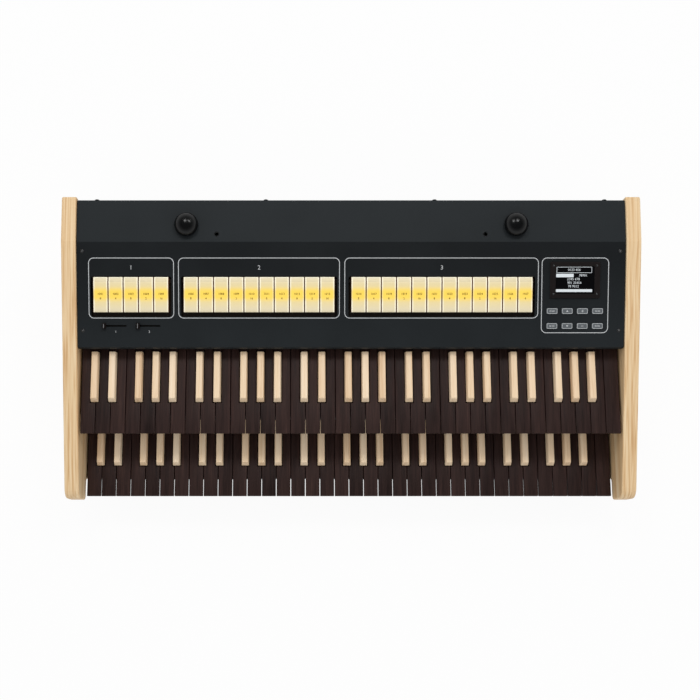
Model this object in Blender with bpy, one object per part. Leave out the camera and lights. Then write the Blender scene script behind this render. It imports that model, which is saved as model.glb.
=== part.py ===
# A portable electronic organ with two manuals of five octaves, between wooden side panels.
# Metres, +Z up. X runs along the keys from bass to treble, and +Y from the player to the rear.
# The origin is on the ground, in the middle of the organ's width and depth.

import math

import bmesh
import bpy
from mathutils import Matrix, Vector

GAP = 0.0003  # kept between pieces that touch
SHEET = 0.0015  # the sheet metal's thickness

# Keys. The lengths are measured from a key's front edge, the heights from a natural's top.
KEY_PITCH = 0.0235
KEY_GAP = 0.00115
OCTAVES = 5
OCTAVE_WIDTH = 7 * KEY_PITCH
BASS_X = -(OCTAVES * 7 + 1) * KEY_PITCH / 2
HEAD_LENGTH = 0.048
PLATE_THICKNESS = 0.006
PLATE_OVERHANG = 0.028
KEY_DEPTH = 0.020
KEY_LEVER = 0.236  # front edge to pivot axis
PIVOT_DROP = 0.019  # pivot axis below the natural's top
TAIL_START = 0.205  # the top is level up to here
TAIL_TOP = -0.004
TAIL_BOTTOM = -0.0125
SHARP_START = 0.0493
SHARP_LENGTH = 0.0792
SHARP_WIDTH = 0.012
SHARP_TOP_WIDTH = 0.0096
SHARP_HEIGHT = 0.011
SHARP_FRONT_SLOPE = 0.0047
SHARP_SIDE_GAP = 0.0012
# C sharp to A sharp: the natural gap that each stands over, and how far it is set off from it
SHARP_PLACES = ((1, -0.0019), (2, 0.0023), (4, -0.0031), (5, 0.0), (6, 0.0031))
KEY_NAMES = ("c", "c_sharp", "d", "d_sharp", "e", "f", "f_sharp", "g", "g_sharp", "a", "a_sharp", "b")
PIN_RADIUS = 0.0024
PIN_BORE = 0.0028
LUG_THICKNESS = 0.004
LUG_SHIFT = 0.0022  # the lugs beside the octave of single keys stand clear of their eyes
LOOSE_OCTAVE = 2  # this octave of the upper manual, counted from 0, has twelve single keys

LOWER_FRONT_Y, LOWER_TOP_Z = -0.224, 0.072
UPPER_FRONT_Y, UPPER_TOP_Z = -0.1305, 0.142
KEY_BED_DROP = 0.0295  # key bed below the naturals' tops

# Case
WOOD_INNER_X = 0.4252
WOOD_THICKNESS = 0.0228
CASE_FRONT_Y, CASE_REAR_Y = -0.230, 0.230
CASE_BOTTOM_Z = 0.010
CREASE_Y = 0.159
PANEL_LOWER_Z = 0.1711  # the control panel's lower edge, at y = 0
PANEL_SLOPE = math.atan(0.2345)
STRIP_SLOPE = math.atan(0.065)
WOOD_STANDS_UP = 0.003  # above the metal
COVER_REAR_Y = 0.2255
COVER_HALF_WIDTH = 0.4240
REAR_PANEL_Y = COVER_REAR_Y - SHEET - GAP
TRAY_REAR_Y = REAR_PANEL_Y - SHEET - GAP
TRAY_HALF_WIDTH = WOOD_INNER_X - GAP

# Control panel: x across, and s down the slope from the panel's height at PANEL_TOP_Y
PANEL_TOP_Y = 0.164
TAB_PITCH = 0.02345
TAB_GAP = 0.0009
TAB_TOP_S, TAB_LENGTH = 0.0594, 0.0544
TAB_PIVOT_S, TAB_PIVOT_N = 0.006, -0.0075  # from the tab's upper end, and above the panel
TAB_GROUPS = (("pedal", -0.3406, 5), ("manual_1", -0.1423, 10), ("manual_2", 0.1405, 12))
TAB_SIDE_MARGIN = 0.0042
TAB_WINDOW_S = (0.0583, 0.1207)
TAB_PIN_RADIUS, TAB_BORE = 0.0014, 0.0018
BUTTON_X = (0.3116, 0.3351, 0.3586, 0.3821)
BUTTON_S = (0.1119, 0.1350)
BUTTON_SIZE = (0.0171, 0.0093)
# a button's widths beyond its cap's, from the stem's end up to the crown, with their heights
BUTTON_LEVELS = (
    (-0.010, -0.0092),
    (0.003, -0.0048),
    (0.003, -0.0022),
    (0, -0.0018),
    (0, 0.0015),
    (-0.0012, 0.0021),
)
DISPLAY_X, DISPLAY_S = 0.3466, 0.0641
BEZEL_SIZE = (0.0770, 0.0561)
SCREEN_SIZE = (0.0600, 0.0425)
SLIDER_X = (-0.3829, -0.3304)
SLIDER_S = 0.1348
SLIDER_TRAVEL = 0.032
SLOT_WIDTH = 0.0026
KNOB_X, KNOB_Y, KNOB_RADIUS, KNOB_HEIGHT = 0.2546, 0.185, 0.0185, 0.0200
PEG_HOLE_X, PEG_HOLE_Y, PEG_HOLE_RADIUS = 0.2078, 0.1711, 0.0026
BOARD_TOP_N, BOARD_THICKNESS = -0.013, 0.0016

# Rear
INLET_X, INLET_Z = 0.330, 0.045
SOCKET_Z = 0.036
SOCKET_X = (-0.110, -0.080, -0.050, 0.000)
SOCKET_RADIUS = 0.0075

# Frames for outlines: an outline's (a, b) and its extrusion's c go to the axes named here
UPRIGHT = Matrix(((0, 0, 1, 0), (1, 0, 0, 0), (0, 1, 0, 0), (0, 0, 0, 1)))  # a along Y, b up, c along X
LEVEL = Matrix.Identity(4)  # a along X, b along Y, c up


def rear_facing(y):
    """a along X, b up and c forwards from the plane at y, so that a positive depth goes inwards."""
    return Matrix(((1, 0, 0, 0), (0, 0, -1, y), (0, 1, 0, 0), (0, 0, 0, 1)))


def sloped(y, z, slope):
    """a along X, b up the slope and c out of the slope, from a point of it."""
    return Matrix.Translation((0, y, z)) @ Matrix.Rotation(slope, 4, "X")


CREASE_Z = PANEL_LOWER_Z + CREASE_Y * math.tan(PANEL_SLOPE)
PANEL = sloped(0, PANEL_LOWER_Z, PANEL_SLOPE) @ Matrix.Translation((0, PANEL_TOP_Y / math.cos(PANEL_SLOPE), 0))
STRIP = sloped(CREASE_Y, CREASE_Z, STRIP_SLOPE)


def finish(name, colour, roughness, metallic=0.0):
    material = bpy.data.materials.new(name)
    material.use_nodes = True
    shader = material.node_tree.nodes["Principled BSDF"]
    shader.inputs["Base Color"].default_value = (*colour, 1.0)
    shader.inputs["Roughness"].default_value = roughness
    shader.inputs["Metallic"].default_value = metallic
    material.diffuse_color = (*colour, 1.0)
    return material


def add_object(name, mesh, material, origin=(0.0, 0.0, 0.0), sharp_angle=30):
    """Puts a mesh in world coordinates into the scene, with its object's origin where asked."""
    mesh.transform(Matrix.Translation(-Vector(origin)))
    mesh.materials.append(material)
    mesh.shade_smooth()
    mesh.set_sharp_from_angle(angle=math.radians(sharp_angle))
    item = bpy.data.objects.new(name, mesh)
    item.location = origin
    bpy.context.scene.collection.objects.link(item)
    return item


def combine(item, mesh, operation):
    """Joins a mesh to an object, or cuts it away, with a Boolean that keeps its hidden tool."""
    tool = bpy.data.objects.new(f"{item.name}_{operation.lower()}_{len(item.modifiers) + 1}", mesh)
    tool.hide_render = True
    tool.display_type = "WIRE"
    bpy.context.scene.collection.objects.link(tool)
    modifier = item.modifiers.new(tool.name, "BOOLEAN")
    modifier.operation = operation
    modifier.object = tool
    modifier.solver = "EXACT"


def mesh_of(bm, name="shape"):
    bmesh.ops.recalc_face_normals(bm, faces=bm.faces)
    mesh = bpy.data.meshes.new(name)
    bm.to_mesh(mesh)
    bm.free()
    return mesh


def add_prism(bm, outline, low, high, frame=LEVEL):
    """An outline in the frame's a and b, from low to high along its c."""
    ends = [[bm.verts.new(frame @ Vector((a, b, c))) for a, b in outline] for c in (low, high)]
    for end in ends:
        bm.faces.new(end)
    for i in range(len(outline)):
        j = (i + 1) % len(outline)
        bm.faces.new((ends[0][i], ends[0][j], ends[1][j], ends[1][i]))


def add_loft(bm, outlines, frame=LEVEL):
    """Outlines of as many points each, with their heights along c, joined in turn and closed at both ends."""
    rings = [[bm.verts.new(frame @ Vector((a, b, c))) for a, b in outline] for outline, c in outlines]
    bm.faces.new(rings[0])
    bm.faces.new(rings[-1])
    for lower, upper in zip(rings, rings[1:]):
        for i in range(len(lower)):
            j = (i + 1) % len(lower)
            bm.faces.new((lower[i], lower[j], upper[j], upper[i]))


def prism(outline, low, high, frame=LEVEL):
    bm = bmesh.new()
    add_prism(bm, outline, low, high, frame)
    return mesh_of(bm)


def prisms(pieces):
    bm = bmesh.new()
    for outline, low, high, frame in pieces:
        add_prism(bm, outline, low, high, frame)
    return mesh_of(bm)


def box(a_low, a_high, b_low, b_high):
    return [(a_low, b_low), (a_high, b_low), (a_high, b_high), (a_low, b_high)]


def circle(a, b, radius, sides):
    angles = [2 * math.pi * (i + 0.5) / sides for i in range(sides)]
    return [(a + radius * math.cos(angle), b + radius * math.sin(angle)) for angle in angles]


def filleted(corners, steps=0):
    """An outline whose corners (a, b, radius) are rounded, in more steps where the radius is larger."""
    outline = []
    for i, (a, b, radius) in enumerate(corners):
        corner = Vector((a, b))
        before = (Vector(corners[i - 1][:2]) - corner).normalized()
        after = (Vector(corners[(i + 1) % len(corners)][:2]) - corner).normalized()
        if radius == 0:
            outline.append((a, b))
            continue
        half = before.angle(after) / 2
        centre = corner + (before + after).normalized() * radius / math.sin(half)
        start = corner + before * radius / math.tan(half) - centre
        end = corner + after * radius / math.tan(half) - centre
        sweep = start.angle_signed(end)
        count = steps or 2 + int(radius / 0.006)
        for k in range(count + 1):
            spoke = Matrix.Rotation(-sweep * k / count, 2) @ start
            outline.append(tuple(centre + spoke))
    return outline


def rounded_box(a, b, width, length, radius, steps=2):
    """A box with round corners about its middle (a, b)."""
    corners = box(a - width / 2, a + width / 2, b - length / 2, b + length / 2)
    return filleted([(x, y, radius) for x, y in corners], steps)


def sheet_outline(path):
    """The section of a bent sheet: its outer path (a, b, bend radius) and the same path one sheet inwards."""
    inner = []
    for i, (a, b, radius) in enumerate(path):
        corner = Vector((a, b))
        normals = []
        for start, end in ((i - 1, i), (i, i + 1)):
            if start >= 0 and end < len(path):
                along = (Vector(path[end][:2]) - Vector(path[start][:2])).normalized()
                normals.append(Vector((along.y, -along.x)))
        normal = sum(normals, Vector((0, 0))).normalized()
        reach = SHEET / max(normal.dot(n) for n in normals)
        shift = normal * reach
        inner.append((corner.x + shift.x, corner.y + shift.y, max(radius - SHEET, 0)))
    return filleted(list(path) + inner[::-1])


def turned(profile, sides, frame):
    """A turned solid: its profile (radius, height) starts and ends on the axis."""
    bm = bmesh.new()
    rings = []
    for radius, height in profile:
        if radius == 0:
            rings.append([bm.verts.new(frame @ Vector((0, 0, height)))])
        else:
            ring = circle(0, 0, radius, sides)
            rings.append([bm.verts.new(frame @ Vector((a, b, height))) for a, b in ring])
    for upper, lower in zip(rings, rings[1:]):
        for i in range(sides):
            j = (i + 1) % sides
            corners = [upper[i % len(upper)], upper[j % len(upper)]]
            corners += [lower[j % len(lower)], lower[i % len(lower)]]
            bm.faces.new(list(dict.fromkeys(corners)))
    return mesh_of(bm)


def side_panels(wood):
    """Solid wood cheeks with a rounded nose, standing a little above the metal between them."""
    top = CREASE_Z + WOOD_STANDS_UP
    nose_top = top - (CREASE_Y - CASE_FRONT_Y) * math.tan(PANEL_SLOPE)
    rear_top = top + (CASE_REAR_Y - CREASE_Y) * math.tan(STRIP_SLOPE)
    outline = filleted([
        (CASE_FRONT_Y, 0.0660, 0.007),
        (-0.1965, 0.0660, 0.006),
        (-0.1900, CASE_BOTTOM_Z, 0.004),
        (CASE_REAR_Y, CASE_BOTTOM_Z, 0.003),
        (CASE_REAR_Y, rear_top, 0.004),
        (CREASE_Y, top, 0),
        (CASE_FRONT_Y, nose_top, 0.020),
    ])
    for name, side in (("side_panel_left", -1), ("side_panel_right", 1)):
        ends = sorted((side * WOOD_INNER_X, side * (WOOD_INNER_X + WOOD_THICKNESS)))
        panel = add_object(name, prism(outline, *ends, UPRIGHT), wood)
        rounding = panel.modifiers.new("rounded_edges", "BEVEL")
        rounding.width = 0.0018
        rounding.segments = 2
        rounding.limit_method = "ANGLE"
        rounding.angle_limit = math.radians(50)


def bottom_tray(paint):
    """The sheet tray that carries everything, with a front wall, flanges and pillars for the board."""
    section = sheet_outline([
        (-0.1916, 0.0385, 0),
        (-0.1840, CASE_BOTTOM_Z, 0.003),
        (TRAY_REAR_Y, CASE_BOTTOM_Z, 0.003),
        (TRAY_REAR_Y, 0.0240, 0),
    ][::-1])
    tray = add_object("bottom_tray", prism(section, -TRAY_HALF_WIDTH, TRAY_HALF_WIDTH, UPRIGHT), paint)
    floor = CASE_BOTTOM_Z + SHEET
    extras = []
    for low, high in ((-0.170, 0.024), (0.034, 0.205)):
        flange = box(low, high, CASE_BOTTOM_Z + 0.0004, 0.0400)
        extras.append((flange, -TRAY_HALF_WIDTH, -TRAY_HALF_WIDTH + SHEET, UPRIGHT))
        extras.append((flange, TRAY_HALF_WIDTH - SHEET, TRAY_HALF_WIDTH, UPRIGHT))
    for x in (-0.150, -0.020, 0.130):
        for y in (0.075, 0.160):
            extras.append((circle(x, y, 0.0035, 8), floor - 0.0005, floor + 0.0065, LEVEL))
    combine(tray, prisms(extras), "UNION")


def rear_panel(paint):
    """A flat sheet with the mains module's cut-out, the socket holes and cooling slots."""
    frame = rear_facing(REAR_PANEL_Y)
    top = CREASE_Z + (REAR_PANEL_Y - CREASE_Y) * math.tan(STRIP_SLOPE) - 2 * SHEET - GAP
    panel = add_object(
        "rear_panel",
        prism(box(-COVER_HALF_WIDTH, COVER_HALF_WIDTH, CASE_BOTTOM_Z + GAP, top), 0, SHEET, frame),
        paint,
    )
    cuts = [(rounded_box(INLET_X, INLET_Z, 0.0500, 0.0276, 0.002), -0.01, 0.01, frame)]
    for x in SOCKET_X:
        cuts.append((circle(x, SOCKET_Z, SOCKET_RADIUS + 0.0005, 12), -0.01, 0.01, frame))
    for i in range(8):
        x = 0.245 + 0.012 * i
        cuts.append((box(x, x + 0.0035, 0.090, 0.130), -0.01, 0.01, frame))
    combine(panel, prisms(cuts), "DIFFERENCE")


def tab_outline_x(centre, count):
    """Left edges of a group's tabs."""
    return [centre + TAB_PITCH * (i - count / 2) + TAB_GAP / 2 for i in range(count)]


def top_cover(paint):
    """One bent sheet: a lip over the upper keys, the control panel, the rear strip and a rear flange."""
    rear_z = CREASE_Z + (COVER_REAR_Y - CREASE_Y) * math.tan(STRIP_SLOPE)
    section = sheet_outline([
        (0, PANEL_LOWER_Z - 0.012, 0),
        (0, PANEL_LOWER_Z, 0.003),
        (CREASE_Y, CREASE_Z, 0),
        (COVER_REAR_Y, rear_z, 0.003),
        (COVER_REAR_Y, rear_z - 0.024, 0),
    ])
    cover = add_object("top_cover", prism(section, -COVER_HALF_WIDTH, COVER_HALF_WIDTH, UPRIGHT), paint)
    through = (-0.006, 0.006, PANEL)
    window_low, window_high = -TAB_WINDOW_S[1], -TAB_WINDOW_S[0]
    cuts = []
    for _, centre, count in TAB_GROUPS:
        width = count * TAB_PITCH - TAB_GAP + 2 * TAB_SIDE_MARGIN
        window = rounded_box(centre, (window_low + window_high) / 2, width, window_high - window_low, 0.003)
        cuts.append((window, *through))
    cuts.append((rounded_box(DISPLAY_X, -DISPLAY_S, 0.066, 0.048, 0.002), *through))
    for x in BUTTON_X:
        for s in BUTTON_S:
            hole = rounded_box(x, -s, BUTTON_SIZE[0] + 0.0008, BUTTON_SIZE[1] + 0.0008, 0.0019, 1)
            cuts.append((hole, *through))
    for x in SLIDER_X:
        middle = x + SLIDER_TRAVEL / 2
        cuts.append((rounded_box(middle, -SLIDER_S, SLIDER_TRAVEL + 0.006, SLOT_WIDTH, 0.0012, 1), *through))
    for side in (-1, 1):
        for x, y, radius in ((KNOB_X, KNOB_Y, 0.0046), (PEG_HOLE_X, PEG_HOLE_Y, PEG_HOLE_RADIUS)):
            up_strip = (y - CREASE_Y) / math.cos(STRIP_SLOPE)
            cuts.append((circle(side * x, up_strip, radius, 12), -0.006, 0.006, STRIP))
    combine(cover, prisms(cuts), "DIFFERENCE")


def tail_profile(eye):
    """A key's side view behind its head, from the underside back and round to the top."""
    profile = [(HEAD_LENGTH, -KEY_DEPTH)]
    if eye:
        bottom, rear = -PIVOT_DROP - 0.006, KEY_LEVER + 0.006
        profile += [(KEY_LEVER - 0.010, TAIL_BOTTOM - 0.001), (KEY_LEVER - 0.0055, -PIVOT_DROP)]
        profile += [(KEY_LEVER - 0.003, bottom), (KEY_LEVER + 0.003, bottom), (rear, -PIVOT_DROP)]
        profile += [(rear, TAIL_TOP - 0.003), (rear - 0.003, TAIL_TOP)]
    else:
        profile += [(KEY_LEVER - 0.001, TAIL_BOTTOM), (KEY_LEVER - 0.001, TAIL_TOP)]
    return profile + [(TAIL_START, 0), (HEAD_LENGTH, 0)]


def add_natural(bm, left, right, tail_left, tail_right, place, eye):
    """A natural: a thin plate that overhangs its body, and a tail notched for the sharps beside it."""
    lip = 0.0012
    head = [(HEAD_LENGTH, 0), (lip, 0), (0, -lip), (0, -PLATE_THICKNESS), (PLATE_OVERHANG, -PLATE_THICKNESS)]
    head += [(PLATE_OVERHANG, -KEY_DEPTH), (HEAD_LENGTH, -KEY_DEPTH)]
    tail = tail_profile(eye)
    made = {}

    def vert(x, point):
        key = (x, point)
        if key not in made:
            made[key] = bm.verts.new(place @ Vector((x, *point)))
        return made[key]

    def face(*corners):
        bm.faces.new(list(dict.fromkeys(vert(x, point) for x, point in corners)))

    for x, tail_x in ((left, tail_left), (right, tail_right)):
        face(*((x, point) for point in head))
        face(*((tail_x, point) for point in tail))
        if tail_x != x:
            face((x, head[0]), (tail_x, head[0]), (tail_x, head[-1]), (x, head[-1]))
    across = (left, tail_left, tail_right, right)
    face(*((x, head[0]) for x in across), (right, head[1]), (left, head[1]))
    face(*((x, head[-1]) for x in across), (right, head[-2]), (left, head[-2]))
    for before, after in zip(head[1:-2], head[2:-1]):
        face((left, before), (left, after), (right, after), (right, before))
    for before, after in zip(tail, tail[1:]):
        face((tail_left, before), (tail_left, after), (tail_right, after), (tail_right, before))


def add_sharp(bm, middle, place, eye):
    """A sharp: a body between the naturals' tails, and a tapered cap with a sloping front."""
    end = SHARP_START + SHARP_LENGTH
    body = [(SHARP_START, -0.001), (SHARP_START, -KEY_DEPTH)] + tail_profile(eye)[1:-2]
    body += [(TAIL_START, -0.001), (end, -0.001)]
    half, top_half = SHARP_WIDTH / 2, SHARP_TOP_WIDTH / 2
    sides = [[bm.verts.new(place @ Vector((middle + x, *point))) for point in body] for x in (-half, half)]
    for side in sides:
        bm.faces.new(side)
    for i in range(len(body) - 1):
        bm.faces.new((sides[0][i], sides[0][i + 1], sides[1][i + 1], sides[1][i]))
    ring = [sides[0][0], sides[1][0], sides[1][-1], sides[0][-1]]
    near, far = SHARP_START + SHARP_FRONT_SLOPE, end - 0.0005
    corners = ((-top_half, near), (top_half, near), (top_half, far), (-top_half, far))
    top = [bm.verts.new(place @ Vector((middle + a, y, SHARP_HEIGHT))) for a, y in corners]
    for i in range(4):
        j = (i + 1) % 4
        bm.faces.new((ring[i], ring[j], top[j], top[i]))
    bm.faces.new(top)


def octave_keys(with_top_c=False):
    """The keys of an octave in order: a natural's four x values, or a sharp's middle."""
    reach = SHARP_WIDTH / 2 + SHARP_SIDE_GAP
    middles = {gap: gap * KEY_PITCH + offset for gap, offset in SHARP_PLACES}
    keys = []
    for i in range(8 if with_top_c else 7):
        left, right = i * KEY_PITCH + KEY_GAP / 2, (i + 1) * KEY_PITCH - KEY_GAP / 2
        tail_left = middles[i] + reach if i in middles else left
        tail_right = middles[i + 1] - reach if i + 1 in middles else right
        keys.append((left, right, tail_left, tail_right))
        if i + 1 in middles:
            keys.append(middles[i + 1])
    return keys


def add_key(bm, key, place, eye):
    if isinstance(key, tuple):
        add_natural(bm, *key, place, eye)
    else:
        add_sharp(bm, key, place, eye)


def pivot_of(front_y, top_z):
    return front_y + KEY_LEVER, top_z - PIVOT_DROP


def key_bank(name, front_y, top_z, octave, bar_ends, with_top_c, finish_of):
    """An octave of keys on the hinge bar and pivot pins that carry it."""
    left = BASS_X + octave * OCTAVE_WIDTH
    place = Matrix.Translation((left, front_y, top_z))
    bm = bmesh.new()
    for key in octave_keys(with_top_c):
        add_key(bm, key, place, False)
    y, z = pivot_of(front_y, top_z)
    bank = add_object(name, mesh_of(bm), finish_of, (left + OCTAVE_WIDTH / 2, y, z))
    top = z + PIVOT_DROP - 0.002
    bar = [(y - 0.006, z - 0.004), (y - 0.003, z - 0.0065), (y + 0.003, z - 0.0065), (y + 0.006, z - 0.004)]
    bar += [(y + 0.006, top - 0.003), (y + 0.003, top), (y - 0.006, top)]
    low, high = bar_ends
    combine(bank, prism(bar, low, high, UPRIGHT), "UNION")
    pin = LUG_THICKNESS / 2 - 0.00015 + 0.0005
    combine(bank, prism(circle(y, z, PIN_RADIUS, 12), low - pin, high + pin, UPRIGHT), "UNION")


def lug_places(loose):
    """Middles of a manual's bearing lugs: under both ends, and under each octave's boundary."""
    boundaries = [BASS_X + k * OCTAVE_WIDTH for k in range(1, OCTAVES)]
    places = [BASS_X + 0.003] + boundaries + [-BASS_X - 0.003]
    if loose is not None:
        places[loose] -= LUG_SHIFT
        places[loose + 1] += LUG_SHIFT
    return places


def manual_banks(prefix, front_y, top_z, loose, finish_of):
    lugs = lug_places(loose)
    reach = LUG_THICKNESS / 2 + 0.0005
    for octave in range(OCTAVES):
        if octave != loose:
            bar_ends = (lugs[octave] + reach, lugs[octave + 1] - reach)
            with_top_c = octave == OCTAVES - 1
            key_bank(f"{prefix}_octave_{octave + 1}", front_y, top_z, octave, bar_ends, with_top_c, finish_of)


def single_keys(naturals, sharps, steel):
    """Twelve keys that turn on one steel rod."""
    left = BASS_X + LOOSE_OCTAVE * OCTAVE_WIDTH
    place = Matrix.Translation((left, UPPER_FRONT_Y, UPPER_TOP_Z))
    y, z = pivot_of(UPPER_FRONT_Y, UPPER_TOP_Z)
    for note, key in zip(KEY_NAMES, octave_keys()):
        bm = bmesh.new()
        add_key(bm, key, place, True)
        natural = isinstance(key, tuple)
        middle = (key[2] + key[3]) / 2 if natural else key
        item = add_object(f"key_{note}", mesh_of(bm), naturals if natural else sharps, (left + middle, y, z))
        reach = 0.02
        bore = prism(circle(y, z, PIN_BORE, 12), left + middle - reach, left + middle + reach, UPRIGHT)
        combine(item, bore, "DIFFERENCE")
    low, high = lug_places(LOOSE_OCTAVE)[LOOSE_OCTAVE:LOOSE_OCTAVE + 2]
    rod = prism(circle(y, z, PIN_RADIUS, 12), low + GAP / 2, high - GAP / 2, UPRIGHT)
    add_object("upper_pivot_rod", rod, steel)


def key_frame(name, path, front_y, top_z, loose, flange, paint):
    """A bent sheet that carries a manual: its key bed, bearing lugs and end flanges."""
    frame = add_object(name, prism(sheet_outline(path), -TRAY_HALF_WIDTH, TRAY_HALF_WIDTH, UPRIGHT), paint)
    y, z = pivot_of(front_y, top_z)
    bed = top_z - KEY_BED_DROP
    top = z + 0.0033
    lug = [(y - 0.007, bed - 0.0005), (y + 0.007, bed - 0.0005), (y + 0.0045, top), (y - 0.0045, top)]
    half = LUG_THICKNESS / 2
    extras = [(lug, x - half, x + half, UPRIGHT) for x in lug_places(loose)]
    extras.append((flange, -TRAY_HALF_WIDTH, -TRAY_HALF_WIDTH + SHEET, UPRIGHT))
    extras.append((flange, TRAY_HALF_WIDTH - SHEET, TRAY_HALF_WIDTH, UPRIGHT))
    combine(frame, prisms(extras), "UNION")
    combine(frame, prism(circle(y, z, PIN_BORE, 12), BASS_X, -BASS_X, UPRIGHT), "DIFFERENCE")


def key_frames(paint):
    bed = UPPER_TOP_Z - KEY_BED_DROP
    riser = UPPER_FRONT_Y + PLATE_OVERHANG + 0.0005
    upper = [(riser, LOWER_TOP_Z + SHARP_HEIGHT + 0.0025, 0), (riser, bed, 0.003), (0.122, bed, 0.0005)]
    upper_flange = box(-0.090, 0.112, bed - SHEET + 0.0002, bed + 0.016)
    key_frame("upper_key_frame", upper, UPPER_FRONT_Y, UPPER_TOP_Z, LOOSE_OCTAVE, upper_flange, paint)
    bed = LOWER_TOP_Z - KEY_BED_DROP
    floor = CASE_BOTTOM_Z + SHEET + GAP
    lower = [(-0.1935, 0.0320, 0), (-0.1935, bed, 0.003), (0.029, bed, 0.003), (0.029, floor, 0)]
    lower_flange = box(-0.170, 0.020, bed - SHEET + 0.0002, bed + 0.016)
    key_frame("lower_key_frame", lower, LOWER_FRONT_Y, LOWER_TOP_Z, None, lower_flange, paint)


def tab_section():
    """A rocker tab's side view, as places up the slope with their heights above the panel."""
    points = [(0.0028, 0), (0.0032, 0.0056), (0.0041, 0.0062), (0.0037, 0.0300)]
    points += [(0.0041, TAB_LENGTH - 0.0008), (0.0033, TAB_LENGTH), (-0.0040, TAB_LENGTH), (-0.0050, 0.0120)]
    points += [(-0.0105, 0.0085), (-0.0105, 0.0035), (-0.0050, 0)]
    return [(-TAB_TOP_S - s, n) for n, s in points]


# a up the slope, b out of it and c along X, for outlines drawn as side views of what stands on the panel
PANEL_SIDE = PANEL @ UPRIGHT


def tabs(cream):
    section = tab_section()
    pivot = (-TAB_TOP_S - TAB_PIVOT_S, TAB_PIVOT_N)
    width = TAB_PITCH - TAB_GAP
    for group, centre, count in TAB_GROUPS:
        lefts = tab_outline_x(centre, count)
        if group == "pedal":
            for i, left in enumerate(lefts):
                origin = PANEL_SIDE @ Vector((*pivot, left + width / 2))
                shape = prism(section, left, left + width, PANEL_SIDE)
                tab = add_object(f"pedal_tab_{i + 1}", shape, cream, origin)
                bore = prism(circle(*pivot, TAB_BORE, 12), left - 0.002, left + width + 0.002, PANEL_SIDE)
                combine(tab, bore, "DIFFERENCE")
        else:
            origin = PANEL_SIDE @ Vector((*pivot, centre))
            row = prisms([(section, left, left + width, PANEL_SIDE) for left in lefts])
            bank = add_object(f"{group}_tabs", row, cream, origin)
            ends = (lefts[0] - 0.0030, lefts[-1] + width + 0.0030)
            combine(bank, prism(circle(*pivot, TAB_PIN_RADIUS, 6), *ends, PANEL_SIDE), "UNION")


def panel_board(green):
    """The board under the control panel: spacers, tab bearings, slide controls and push switches."""
    top = BOARD_TOP_N
    outline = box(-0.404, 0.398, -0.150, -0.0515)
    board = add_object("panel_board", prism(outline, top - BOARD_THICKNESS, top, PANEL), green)
    sunk = top - 0.0004
    extras = []
    for x in (-0.2713, -0.0135, 0.2925):
        for s in (0.0545, 0.1265):
            extras.append((circle(x, -s, 0.0024, 8), sunk, -SHEET - GAP, PANEL))
    s = -TAB_TOP_S - TAB_PIVOT_S
    lug = [(s - 0.0045, sunk), (s + 0.0045, sunk), (s + 0.0025, -0.0048), (s - 0.0025, -0.0048)]
    bores = []
    for group, centre, count in TAB_GROUPS:
        half = (count * TAB_PITCH - TAB_GAP) / 2
        for side in (-1, 1):
            ends = sorted((centre + side * (half + 0.0010), centre + side * (half + 0.0034)))
            extras.append((lug, *ends, PANEL_SIDE))
            if group != "pedal":
                bore = circle(s, TAB_PIVOT_N, TAB_BORE, 12)
                bores.append((bore, ends[0] - 0.001, ends[1] + 0.001, PANEL_SIDE))
    for x in SLIDER_X:
        middle = x + SLIDER_TRAVEL / 2
        low, high = middle - 0.0235, middle + 0.0235
        extras.append((box(low, high, -SLIDER_S - 0.0045, -SLIDER_S + 0.0045), sunk, -0.0085, PANEL))
    for x in BUTTON_X:
        for row in BUTTON_S:
            extras.append((box(x - 0.003, x + 0.003, -row - 0.003, -row + 0.003), sunk, -0.0110, PANEL))
    combine(board, prisms(extras), "UNION")
    combine(board, prisms(bores), "DIFFERENCE")
    _, centre, count = TAB_GROUPS[0]
    half = (count * TAB_PITCH - TAB_GAP) / 2 + 0.0020
    rod = prism(circle(s, TAB_PIVOT_N, TAB_PIN_RADIUS, 8), centre - half, centre + half, PANEL_SIDE)
    combine(board, rod, "UNION")


def menu_buttons(grey):
    """Push buttons with a rounded rim, a retaining flange under the sheet and a stem to the switch."""
    width, length = BUTTON_SIZE
    number = 1
    for s in BUTTON_S:
        for x in BUTTON_X:
            bm = bmesh.new()
            outlines = []
            for grow, n in BUTTON_LEVELS:
                short = max(length + grow, 0.003)
                outlines.append((rounded_box(x, -s, width + grow, short, min(0.0015, short / 3), 1), n))
            add_loft(bm, outlines, PANEL)
            origin = PANEL @ Vector((x, -s, 0))
            add_object(f"menu_button_{number}", mesh_of(bm), grey, origin)
            number += 1


def slider_caps(black):
    """Slide control caps: a ridged finger piece on a thin stem through the slot."""
    for i, x in enumerate(SLIDER_X):
        bm = bmesh.new()
        outlines = []
        for width, length, n in (
            (0.0016, 0.0012, -0.0080),
            (0.0016, 0.0012, 0.0003),
            (0.0060, 0.0090, 0.0008),
            (0.0060, 0.0090, 0.0022),
            (0.0024, 0.0080, 0.0062),
            (0.0014, 0.0070, 0.0068),
        ):
            half_w, half_l = width / 2, length / 2
            outlines.append((box(x - half_w, x + half_w, -SLIDER_S - half_l, -SLIDER_S + half_l), n))
        add_loft(bm, outlines, PANEL)
        add_object(f"slider_cap_{i + 1}", mesh_of(bm), black, PANEL @ Vector((x, -SLIDER_S, 0)))


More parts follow.
